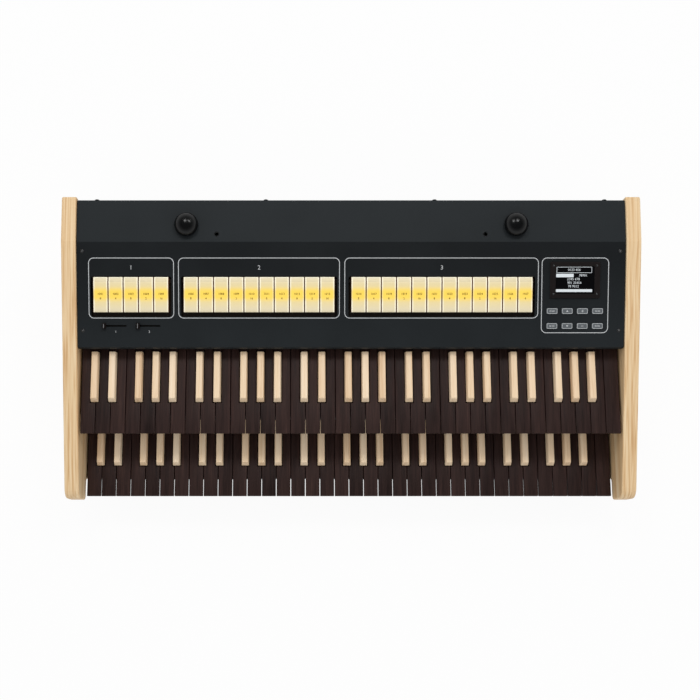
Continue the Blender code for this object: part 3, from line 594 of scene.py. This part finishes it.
def notchedOutline(left, right, tailLeft, tailRight, front, radius):
    # a natural from above: its head, and behind it what the sharps leave of its level part
    head, rear = keys["head"], keys["levelEnd"]
    corners = ((left, front, radius), (right, front, radius), (right, head, 0), (tailRight, head, 0),
               (tailRight, rear, 0), (tailLeft, rear, 0), (tailLeft, head, 0), (left, head, 0))
    return roundedOutline([corner for i, corner in enumerate(corners) if corner[:2] != corners[i - 1][:2]])


def tailShape(middle, width, end, heights, corner, edge, place):
    start = keys["levelEnd"]
    outline = roundedRectangle(middle, (start + end) / 2, width, end - start, corner, 1)
    return roundedPrism(outline, *heights, edge, place, 1)


def naturalShapes(left, right, tailLeft, tailRight, place, end):
    # a plate with a soft front edge, over the key's body and its tail
    level = (left, right, tailLeft, tailRight)
    outline = notchedOutline(*level, 0, keys["frontCorner"])
    plate = roundedPrism(outline, -keys["plate"], 0, keys["plateEdge"], place)
    outline = notchedOutline(*level, keys["overhang"], 0)
    below = -keys["plate"] - keys["woodGap"]
    body = roundedPrism(outline, -keys["depth"], below, keys["woodEdge"], place, 1)
    middle, width = (tailLeft + tailRight) / 2, tailRight - tailLeft
    tail = tailShape(middle, width, end, keys["tail"], keys["tailCorner"], keys["tailEdge"], place)
    return [plate, body, tail]


def sharpShapes(middle, place, end):
    # the cap's rings taper from the foot to the crown, which is rounded over on all four sides: at an angle
    # t it is edge * sin(t) higher and edge * (1 - cos(t)) further in; the key's body and tail are below it
    height, edge, foot = sharps["height"], sharps["edge"], sharps["foot"]
    angle = np.linspace(0, math.pi / 2, 4)
    levels = [(foot, 0.0, 0.0)]
    for rise, inset in zip(edge * np.sin(angle), edge * (1 - np.cos(angle))):
        levels.append((height - edge + rise, (height - edge + rise) / height, inset))
    rings = []
    for level, share, inset in levels:
        width = sharps["width"] + (sharps["topWidth"] - sharps["width"]) * share - 2 * inset
        near = sharps["start"] + sharps["frontSlope"] * share + inset
        far = sharps["end"] - sharps["rearSlope"] * share - inset
        ring = roundedRectangle(middle, (near + far) / 2, width, far - near, sharps["corner"])
        rings.append(np.column_stack([ring, np.full(len(ring), level)]))
    near, far, width = sharps["start"], keys["levelEnd"], sharps["width"]
    outline = roundedRectangle(middle, (near + far) / 2, width, far - near, sharps["woodCorner"], 1)
    body = roundedPrism(outline, -keys["depth"], foot - keys["woodGap"], keys["woodEdge"], place, 1)
    tail = tailShape(middle, width, end, sharps["tail"], sharps["woodCorner"], keys["woodEdge"], place)
    return [ringsShape(rings, place)], [body, tail]


def octaveShapes(place, end, withTopC):
    # for each key of an octave, in the order of its notes, its pale shapes and its dark ones
    pitch, half = keys["pitch"], keys["gap"] / 2
    reach = sharps["width"] / 2 + sharps["sideGap"]
    middles = {gap: gap * pitch + offset for gap, offset in sharps["offsets"].items()}
    made = []
    for i in range(keys["naturals"] + withTopC):
        left, right = i * pitch + half, (i + 1) * pitch - half
        tailLeft = middles[i] + reach if i in middles else left
        tailRight = middles[i + 1] - reach if i + 1 in middles else right
        made.append(([], naturalShapes(left, right, tailLeft, tailRight, place, end)))
        if i + 1 in middles:
            made.append(sharpShapes(middles[i + 1], place, end))
    return made


def makeManuals():
    span = keys["naturals"] * keys["pitch"]
    for manual, (frontY, topZ) in manuals.items():
        for octave in range(1, keys["octaves"] + 1):
            left = keys["bassX"] + (octave - 1) * span
            place = atLevel(left, frontY, topZ)
            if manual == "upper" and octave == looseOctave:
                for note, (caps, wood) in zip(noteNames, octaveShapes(place, keys["singleEnd"], False)):
                    body = f"key_{note}"
                    addPiece(f"{body}_wood", wood, "darkKey", body, (body,))
                    if caps:
                        addPiece(f"{body}_cap", caps, "paleKey", body, (body,))
                continue
            body = f"{manual}_octave_{octave}"
            made = octaveShapes(place, keys["bankEnd"], octave == keys["octaves"])
            behind, *section = hingeBar["section"]
            low, high = left + hingeBar["bassMargin"], left + span - hingeBar["trebleMargin"]
            outline = roundedRectangle(keys["bankEnd"] + behind, *section)
            bar = roundedPrism(outline, low, high, hingeBar["edge"], alongX(frontY, topZ), 1)
            caps = [shape for pale, _ in made for shape in pale]
            wood = [shape for _, dark in made for shape in dark]
            addPiece(f"{body}_wood", wood + [bar], "darkKey", body, (body,))
            addPiece(f"{body}_caps", caps, "paleKey", body, (body,))


makeManuals()
print("manuals made")


# Rocker tabs
tabs = {
    "pitch": 0.02345,
    "gap": 0.0009,
    "topS": 0.0594,
    "length": 0.0544,
    "edge": 0.0007,
    "groups": {"pedal": (-0.3406, 5), "manual_1": (-0.1423, 10), "manual_2": (0.1405, 12)},  # middle, count
    "step": ((0.0012, 0.0028), (0.0034, 0.0030), (0.0056, 0.0032)),  # s from the upper end, and height
    "hollow": (0.0066, 0.0020, 0.0041, 0.0005),  # its distances from the two ends, its height and depth
    "lowerEnd": ((0.0004, 0.0034), (0.0, 0.0026), (0.0, -0.0036), (0.0006, -0.0040)),
    "hook": ((0.0120, -0.0050), (0.0085, -0.0100), (0.0080, -0.0105), (0.0040, -0.0105), (0.0035, -0.0100),
             (0.0, -0.0050), (0.0, 0.0018)),
    "numbers": ((0.0855, 0.00385), (0.0925, 0.00380)),  # s on the panel, and height
    "numberSize": 0.0047,
    "firstNumber": 1001,
    "pipeLengths": (8, 4, 8, 2, 16),
}


def tabSection():
    # a tab's side view, up the slope and out of it: a step near its upper end, a face hollowed by
    # depth * sin, the lower end, and the underside with its hook
    length = tabs["length"]
    start, rest, height, depth = tabs["hollow"]
    hollow = [(start + (length - start - rest) * t, height - depth * math.sin(math.pi * t))
              for t in np.linspace(0, 1, 13)]
    lowerEnd = [(length - s, n) for s, n in tabs["lowerEnd"]]
    outline = [*tabs["step"], *hollow, *lowerEnd, *tabs["hook"]]
    return np.array([(-tabs["topS"] - s, n) for s, n in outline])


def makeTabs():
    section = tabSection()
    width = tabs["pitch"] - tabs["gap"]
    number = 0
    for group, (centre, count) in tabs["groups"].items():
        shapes, prints, uvs = [], [], []
        for i in range(count):
            left = centre + tabs["pitch"] * (i - count / 2) + tabs["gap"] / 2
            shape = roundedPrism(section, left, left + width, tabs["edge"], sideOfPanel)
            rows = len(shape[0]) // len(section)
            along = np.tile((-tabs["topS"] - section[:, 0]) / tabs["length"], rows)
            across = (shape[0][:, 0] - left) / width
            shapes.append(shape)
            uvs.append(np.column_stack([across, along]))
            pipe = tabs["pipeLengths"][number % len(tabs["pipeLengths"])]
            for text, (s, n) in zip((tabs["firstNumber"] + number, pipe), tabs["numbers"]):
                prints.append(numeralOnPanel(str(text), tabs["numberSize"], left + width / 2, s, n))
            number += 1
            if group == "pedal":
                body = f"pedal_tab_{i + 1}"
                addPiece(f"{body}_cap", shapes, "cream", body, (body,), 50, uvs)
                addPiece(f"{body}_numbers", prints, "tabPrint", body)
                shapes, prints, uvs = [], [], []
        if shapes:
            body = f"{group}_tabs"
            addPiece(f"{body}_caps", shapes, "cream", body, (body,), 50, uvs)
            addPiece(f"{body}_numbers", prints, "tabPrint", body)


makeTabs()
print("tabs made")


# Printing on the panel
panelPrint = {
    # each frame's left and right, and s of its upper and lower line
    "frames": ((-0.4061, -0.2747, 0.0300, 0.1227), (-0.2671, -0.0179, 0.0300, 0.1227),
               (-0.0097, 0.2898, 0.0300, 0.1227), (0.2955, 0.3985, 0.0300, 0.1455)),
    "cornerRadius": 0.0077,
    "sectionS": 0.0449,
    "sectionSize": 0.0095,
    "sliderNumbers": ((-0.3650, "1"), (-0.3130, "2")),
    "sliderNumberS": 0.1440,
    "sliderNumberSize": 0.0050,
}


def makePanelPrint():
    # frames round the groups of tabs and round the screen, with plain numbers for what they hold
    shapes = []
    for low, high, top, bottom in panelPrint["frames"]:
        outline = roundedRectangle((low + high) / 2, -(top + bottom) / 2, high - low, bottom - top,
                                   panelPrint["cornerRadius"], 8)
        shapes.append(lineLoop(outline, case["lineWidth"], case["printHeight"], onPanel))
    numbers = [(str(i + 1), panelPrint["sectionSize"], centre, panelPrint["sectionS"])
               for i, (centre, _) in enumerate(tabs["groups"].values())]
    numbers += [(text, panelPrint["sliderNumberSize"], x, panelPrint["sliderNumberS"])
                for x, text in panelPrint["sliderNumbers"]]
    shapes += [numeralOnPanel(*number, case["printHeight"] / 2) for number in numbers]
    addPiece("panel_print", shapes, "print", "case")


makePanelPrint()


# Screen and push buttons
screen = {
    "x": 0.3466,
    "s": 0.0641,
    "bezel": (0.0770, 0.0561, 0.0018),   # width, length and corner radius
    "window": (0.0600, 0.0425, 0.0012),
    "litX": (0.3171, 0.3731),
    "litS": (0.0437, 0.0825),
    "outerRings": ((0.0, 0.0003), (0.0, 0.0019), (0.0005, 0.0024)),   # the bezel's, by inset and height
    "innerRings": ((-0.0006, 0.0024), (0.0, 0.0017), (0.0, 0.0003)),
    "glassTop": 0.0014,
    "title": (0.0047, 0.0020, 0.0086, 0.0004),  # below the lit top, narrower by, height, corner radius
    "titleLine": 0.0006,
    "chosenBar": (0.0133, 0.0270, 0.0054),      # below the lit top, width, height
    "footBar": (0.0022, 0.0042),                # above the lit bottom, height
    "barCorner": 0.0003,
    "digits": 0.0052,
    "menu": (("0123 456", 0.3451, 0.0047), ("78901", 0.3590, 0.0133), ("2345 678", 0.3440, 0.0190),
             ("901 23456", 0.3455, 0.0246), ("78 9012", 0.3440, 0.0301)),  # text, x, below the lit top
}


def makeScreen():
    # a bezel with a bevelled opening, and light shapes that stand for a menu
    x, s = screen["x"], screen["s"]
    rings = []
    for size, insets in ((screen["bezel"], screen["outerRings"]), (screen["window"], screen["innerRings"])):
        outline = roundedRectangle(x, -s, *size, 4)
        for inset, height in insets:
            rings.append(np.column_stack([insetOutline(outline, inset), np.full(len(outline), height)]))
    moulding = ringsShape(rings, onPanel, True)
    addPiece("bezel_moulding", [moulding], "blackSatin", "case", ("display_bezel",))

    low, high = screen["litX"]
    top, bottom = screen["litS"]
    glass = screen["glassTop"]

    def bar(left, right, middleS, tall):
        outline = roundedRectangle((left + right) / 2, -middleS, right - left, tall, screen["barCorner"], 1)
        return printedShape(outline, glass)

    down, narrower, tall, corner = screen["title"]
    title = roundedRectangle((low + high) / 2, -top - down, high - low - narrower, tall, corner, 2)
    shapes = [lineLoop(title, screen["titleLine"], glass + case["printHeight"], onPanel)]
    down, wide, tall = screen["chosenBar"]
    shapes.append(bar(low, low + wide, top + down, tall))
    lift = glass + case["printHeight"] / 2
    for text, middle, down in screen["menu"]:
        shapes.append(numeralOnPanel(text, screen["digits"], middle, top + down, lift))
    above, tall = screen["footBar"]
    shapes.append(bar(low, high, bottom - above, tall))
    addPiece("screen_menu", shapes, "screenLight", "case")


buttons = {
    "x": (0.3116, 0.3351, 0.3586, 0.3821),
    "s": (0.1119, 0.1350),
    "size": (0.0171, 0.0093),
    "top": 0.0021,
    "foot": -0.0018,
    "corner": 0.0018,
    "edge": 0.0006,
    "stem": (0.0060, 0.0030, 0.0004),       # width, length and corner radius
    "stemEnds": (-0.0091, -0.0017),
    "stemEdge": 0.0002,
    "skirt": (0.0030, -0.0048, -0.0022),    # wider than the cap by, bottom and top
    "skirtEdge": 0.0003,
    "rim": (0.0020, 0.0013, 0.0006),        # smaller than the cap by, corner radius, line width
    "marks": ("bars", "up", "plus", "bars", "bars", "down", "minus", "bars"),
    "markReach": 0.0019,
    "arrow": (0.0011, 0.0015),              # its foot and its tip from the middle
    "bars": ((-0.0026, 0.0030), (0.0018, 0.0042)),  # where each one's middle is, and its width
    "barHeight": 0.0011,
    "barCorner": 0.0002,
    "minusCorner": 0.0001,
    "stroke": 0.0007,
}


def markOutlines(mark, x, s):
    # outlines of a button's plain sign, about its middle
    reach, stroke = buttons["markReach"], buttons["stroke"]
    foot, tip = buttons["arrow"]
    if mark == "up":
        return [np.array([(x - reach, -s - foot), (x + reach, -s - foot), (x, -s + tip)])]
    if mark == "down":
        return [np.array([(x - reach, -s + foot), (x, -s - tip), (x + reach, -s + foot)])]
    if mark == "minus":
        return [roundedRectangle(x, -s, 2 * reach, stroke, buttons["minusCorner"], 1)]
    if mark == "plus":
        arm = stroke / 2
        corners = ((-reach, -arm), (-arm, -arm), (-arm, -reach), (arm, -reach), (arm, -arm), (reach, -arm),
                   (reach, arm), (arm, arm), (arm, reach), (-arm, reach), (-arm, arm), (-reach, arm))
        return [np.array([(x + a, b - s) for a, b in corners])]
    height, corner = buttons["barHeight"], buttons["barCorner"]
    return [roundedRectangle(x + shift, -s, width, height, corner, 1) for shift, width in buttons["bars"]]


def makeButtons():
    width, length = buttons["size"]
    top, corner = buttons["top"], buttons["corner"]
    places = [(x, s) for s in buttons["s"] for x in buttons["x"]]
    for number, ((x, s), mark) in enumerate(zip(places, buttons["marks"]), 1):
        body = f"menu_button_{number}"
        outline = roundedRectangle(x, -s, width, length, corner, 4)
        cap = roundedPrism(outline, buttons["foot"], top, buttons["edge"], onPanel, 3, (False, True))
        outline = roundedRectangle(x, -s, *buttons["stem"])
        stem = roundedPrism(outline, *buttons["stemEnds"], buttons["stemEdge"], onPanel, 1)
        wider, low, high = buttons["skirt"]
        outline = roundedRectangle(x, -s, width + wider, length + wider, corner, 2)
        skirt = roundedPrism(outline, low, high, buttons["skirtEdge"], onPanel, 1)
        addPiece(f"{body}_cap", [cap, stem, skirt], "greyPlastic", body, (body,))
        smaller, radius, line = buttons["rim"]
        rim = roundedRectangle(0, 0, width - smaller, length - smaller, radius, 4)
        shapes = [lineLoop(rim, line, case["printHeight"], about(onPanel, x, -s, top))]
        shapes += [printedShape(sign, top) for sign in markOutlines(mark, x, s)]
        addPiece(f"{body}_mark", shapes, "print", body)


makeScreen()
makeButtons()
print("screen and buttons made")


# Knobs, peg holes, screws, slide controls, sockets
nearAxis = 0.00001  # the radius at which a turned profile starts and ends
knobs = {
    "x": 0.2546,
    "y": 0.185,
    "radius": 0.0185,
    "height": 0.0198,
    "domeFoot": 0.0055,
    "skirt": ((0.985, 0.0036), (0.93, 0.0015), (0.86, 0.0003)),  # shares of the radius, and heights
    "stem": (0.0040, 0.0120),  # its radius, and how far it goes down
    "stemEdge": 0.0001,
}
pegHoles = {
    "x": 0.2078,
    "y": 0.1711,
    "size": 0.0064,
    "corner": 0.00315,
    "rim": (0.0010, 0.0004),  # width and height
}
screws = {
    "rise": 0.42,          # a head's height, as a share of its radius
    "rimAngle": 0.1,       # where its dome ends, in radians above its rim
    "underside": -0.0002,
    "slot": (0.8, 0.2),    # its length and width, as shares of the head's radius
    "slotCorner": 0.0001,
    "slotTop": 0.00005,    # above the head
    "slotDepth": 0.0004,
    "slotEdge": 0.00002,
    "panelRadius": 0.0031,
    "panel": ((-0.416, 0.0195), (0.416, 0.0195), (-0.416, 0.142), (0.416, 0.142)),  # x and s
    "bezelRadius": 0.0017,
    "bezelTop": 0.0024,
    "bezel": ((-0.0335, -0.0215), (0.0335, -0.0215), (-0.0335, 0.0222), (0.0335, 0.0222)),  # from its middle
    "rearRadius": 0.0038,
    "rearX": (-0.3945, -0.132, 0.130, 0.394),
    "rearY": 0.2258,
    "rearZ": 0.2075,
}


def knobProfile():
    # a dome, radius * cos(t) wide where it is (height - domeFoot) * sin(t) above its foot, over a rounded
    # skirt and a stem
    radius, foot = knobs["radius"], knobs["domeFoot"]
    stem, depth = knobs["stem"]
    dome = [(nearAxis + radius * math.cos(t), foot + (knobs["height"] - foot) * math.sin(t))
            for t in np.linspace(math.pi / 2, 0.0, 16)]
    skirt = [(radius * share, height) for share, height in knobs["skirt"]]
    return [*dome, *skirt, (stem, skirt[-1][1]), (stem, knobs["stemEdge"] - depth), (nearAxis, -depth)]


def screwShape(place, radius):
    # a low dome, radius * cos(t) wide and radius * rise * sin(t) high, on a flat underside
    profile = [(nearAxis + radius * math.cos(t), radius * screws["rise"] * math.sin(t))
               for t in np.linspace(math.pi / 2, screws["rimAngle"], 6)]
    profile += [(radius, screws["underside"]), (nearAxis, screws["underside"])]
    return turnedShape(profile, place, 24)


def crossShapes(place, radius):
    # the edges of the cross slot, which catch the light
    long, thin = (radius * share for share in screws["slot"])
    top = radius * screws["rise"] + screws["slotTop"]
    outlines = [roundedRectangle(0, 0, *size, screws["slotCorner"], 1)
                for size in ((long, thin), (thin, long))]
    return [roundedPrism(outline, top - screws["slotDepth"], top, screws["slotEdge"], place, 1)
            for outline in outlines]


def makeFittings():
    for side, x in (("left", -knobs["x"]), ("right", knobs["x"])):
        node = f"rest_knob_{side}"
        dome = turnedShape(knobProfile(), onStrip(x, knobs["y"]), 64)
        addPiece(f"{node}_dome", [dome], "blackGloss", node, (node,), 50)
    rim = roundedRectangle(0, 0, pegHoles["size"], pegHoles["size"], pegHoles["corner"], 8)
    sleeves = [lineLoop(rim, *pegHoles["rim"], onStrip(x, pegHoles["y"]))
               for x in (-pegHoles["x"], pegHoles["x"])]
    addPiece("peg_sleeves", sleeves, "blackGloss", "case")
    places = [(about(onPanel, x, -s), screws["panelRadius"]) for x, s in screws["panel"]]
    places += [(about(onPanel, screen["x"] + a, b - screen["s"], screws["bezelTop"]), screws["bezelRadius"])
               for a, b in screws["bezel"]]
    places += [(onRear(x, screws["rearY"], screws["rearZ"]), screws["rearRadius"]) for x in screws["rearX"]]
    heads = [screwShape(place, radius) for place, radius in places]
    addPiece("screw_heads", heads, "screwBlack", "case")
    crosses = [shape for place, radius in places for shape in crossShapes(place, radius)]
    addPiece("screw_crosses", crosses, "bareMetal", "case")


sliders = {
    "x": (-0.3829, -0.3304),
    "s": 0.1348,
    "stripe": (0.0011, 0.0068, 0.0004),  # width, length and corner radius
    "heights": (0.00660, 0.00695),       # from and to, out of the panel
    "edge": 0.0001,
}


def makeSliderMarks():
    # a bright strip along each cap's ridge
    for number, x in enumerate(sliders["x"], 1):
        node = f"slider_cap_{number}"
        outline = roundedRectangle(x, -sliders["s"], *sliders["stripe"], 2)
        stripe = roundedPrism(outline, *sliders["heights"], sliders["edge"], onPanel, 1)
        addPiece(f"{node}_stripe", [stripe], "bareMetal", node)


sockets = {
    "y": 0.2237,
    "x": (-0.110, -0.080, -0.050, 0.000),
    "z": 0.036,
    "ring": (0.0126, 0.0062, 0.0009, 0.0012),  # size, corner radius, line width and height
    "contacts": 5,
    "arcRadius": 0.0044,
    "contact": ((nearAxis, 0.0009), (0.0006, 0.0008), (0.0008, 0.0005), (0.0008, 0.0), (nearAxis, 0.0)),
}
inlet = {
    "x": 0.330,
    "z": 0.045,
    "depth": 0.0164,
    "blades": ((0.002, -0.002), (0.016, -0.002), (0.009, 0.0025)),  # their middles
    "blade": (0.0020, 0.0055, 0.0004),  # width, height and corner radius
    "bladeLength": 0.0130,
    "bladeEdge": 0.0004,
}


def makeSockets():
    # the blades of the mains inlet, and the contacts on half a circle in each round socket
    place = onRear(inlet["x"], sockets["y"] - inlet["depth"], inlet["z"])
    outlines = [roundedRectangle(a, b, *inlet["blade"], 2) for a, b in inlet["blades"]]
    blades = [roundedPrism(outline, 0.0, inlet["bladeLength"], inlet["bladeEdge"], place, 2)
              for outline in outlines]
    addPiece("inlet_blades", blades, "brass", "case")
    size, corner, width, height = sockets["ring"]
    ring = roundedRectangle(0, 0, size, size, corner, 8)
    contacts, rings = [], []
    for x in sockets["x"]:
        place = onRear(x, sockets["y"], sockets["z"])
        for turn in np.linspace(-math.pi, 0.0, sockets["contacts"]):
            spot = about(place, sockets["arcRadius"] * math.cos(turn), sockets["arcRadius"] * math.sin(turn))
            contacts.append(turnedShape(sockets["contact"], spot, 12))
        rings.append(lineLoop(ring, width, height, place))
    addPiece("socket_contacts", contacts, "blackGloss", "case")
    addPiece("socket_rings", rings, "steel", "case")


makeFittings()
makeSliderMarks()
makeSockets()
print("fittings made")


# Finishes of the model's own nodes that stay
nodeFinishes = {
    "paleWood": ("side_panel_left", "side_panel_right"),
    "paint": ("bottom_tray", "rear_panel", "top_cover", "upper_key_frame", "lower_key_frame"),
    "steel": ("upper_pivot_rod",),
    "screenGlass": ("display_module",),
    "board": ("main_board",),
    "darkBoard": ("panel_board",),
    "bareMetal": ("power_supply",),
    "blackSatin": ("power_inlet", "socket_row", "slider_cap_1", "slider_cap_2"),
    "blackGloss": ("power_rocker",),
    "rubber": ("foot_front_left", "foot_front_right", "foot_rear_left", "foot_rear_right"),
}
for finishName, nodeNames in nodeFinishes.items():
    for nodeName in nodeNames:
        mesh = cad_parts[nodeName].data
        mesh.materials.clear()
        mesh.materials.append(finishes[finishName])
print("nodes finished")


# Floor, light and camera
studio = {
    "floorSize": 40.0,
    "floorColour": (0.86, 0.86, 0.86),
    "floorWhite": 0.94,            # how much of the floor the camera sees as plain white
    "ambient": 0.66,
    "overhead": 0.10,              # what gloss sees above, against white at the horizon
    "overheadFrom": (0.15, 0.75),  # upward share of a direction where the ceiling starts and is whole
    # each lamp's place, power and size
    "lamps": (((-0.55, 1.0, 2.1), 8.0, 0.5), ((0.55, 1.0, 2.1), 8.0, 0.5), ((0.0, -1.6, 1.9), 3.0, 1.3)),
    "lampsInGloss": 2,             # the rest of the lamps only fill
    "lampTarget": (0.0, 0.0, 0.12),
}
view = {
    "place": (-0.0768, -0.3269, 1.8034),
    "tilt": 9.481,                 # degrees from straight down
    "lens": 55.05,
    "sensor": 36.0,
    "shift": (0.0694, 0.0457),
}


def makeWorld():
    # the camera sees plain white, also through glass; gloss sees a white horizon under a dark ceiling, and
    # the rest an even light
    world = bpy.data.worlds.new("studio")
    bpy.context.scene.world = world
    world.use_nodes = True
    sky = ShaderNodes(world.node_tree)

    def background(strength):
        return sky.node("ShaderNodeBackground", {}, {"Color": (1.0, 1.0, 1.0, 1.0), "Strength": strength})

    def mixed(share, first, second):
        return sky.node("ShaderNodeMixShader", {}, {0: share, 1: first, 2: second})

    def isRay(kind):
        return sky.node("ShaderNodeLightPath", {}, {}, f"Is {kind} Ray")

    _, _, up = sky.axes(sky.node("ShaderNodeTexCoord", {}, {}, "Generated"))
    start, whole = studio["overheadFrom"]
    ceiling = sky.node("ShaderNodeMapRange", {}, {"Value": up, "From Min": start, "From Max": whole})
    gloss = mixed(ceiling, background(1.0), background(studio["overhead"]))
    light = mixed(isRay("Glossy"), background(studio["ambient"]), gloss)
    seen = isRay("Camera").maths("MAXIMUM", isRay("Transmission"))
    sky.feed(sky.tree.nodes["World Output"].inputs["Surface"], mixed(seen, light, background(1.0)))


def makeFloor():
    half = studio["floorSize"] / 2
    corners = [(-half, -half, 0), (half, -half, 0), (half, half, 0), (-half, half, 0)]
    mesh = bpy.data.meshes.new("floor")
    mesh.from_pydata(corners, [], [(0, 1, 2, 3)])
    floor = bpy.data.objects.new("floor", mesh)
    bpy.context.scene.collection.objects.link(floor)
    paper = Finish("paleFloor", studio["floorColour"], 0.9, specular=0.0)
    toCamera = paper.node("ShaderNodeLightPath", {}, {}, "Is Camera Ray")
    white = paper.node("ShaderNodeEmission", {}, {"Color": (1.0, 1.0, 1.0, 1.0), "Strength": 1.0})
    surface = Signal(paper, paper.shader.outputs[0])
    whole = paper.node("ShaderNodeMixShader", {}, {0: toCamera * studio["floorWhite"], 1: surface, 2: white})
    paper.feed(paper.tree.nodes["Material Output"].inputs["Surface"], whole)
    mesh.materials.append(paper.material)


def makeLamps():
    # square lamps, each turned towards the target: its -Z axis is tilted from straight down, then turned
    for number, (place, power, size) in enumerate(studio["lamps"]):
        lamp = bpy.data.lights.new("softbox", "AREA")
        lamp.energy = power
        lamp.size = size
        item = bpy.data.objects.new("softbox", lamp)
        item.location = place
        item.visible_glossy = number < studio["lampsInGloss"]
        x, y, z = np.array(studio["lampTarget"]) - np.array(place)
        item.rotation_euler = (math.atan2(math.hypot(x, y), -z), 0.0, math.atan2(-x, y))
        bpy.context.scene.collection.objects.link(item)


def makeCamera():
    camera = bpy.data.cameras.new("camera")
    camera.lens = view["lens"]
    camera.sensor_width = view["sensor"]
    camera.shift_x, camera.shift_y = view["shift"]
    item = bpy.data.objects.new("camera", camera)
    item.location = view["place"]
    item.rotation_euler = (math.radians(view["tilt"]), 0.0, 0.0)
    bpy.context.scene.collection.objects.link(item)
    bpy.context.scene.camera = item
    bpy.context.scene.view_settings.view_transform = "Standard"


makeWorld()
makeFloor()
makeLamps()
makeCamera()
print("studio made")
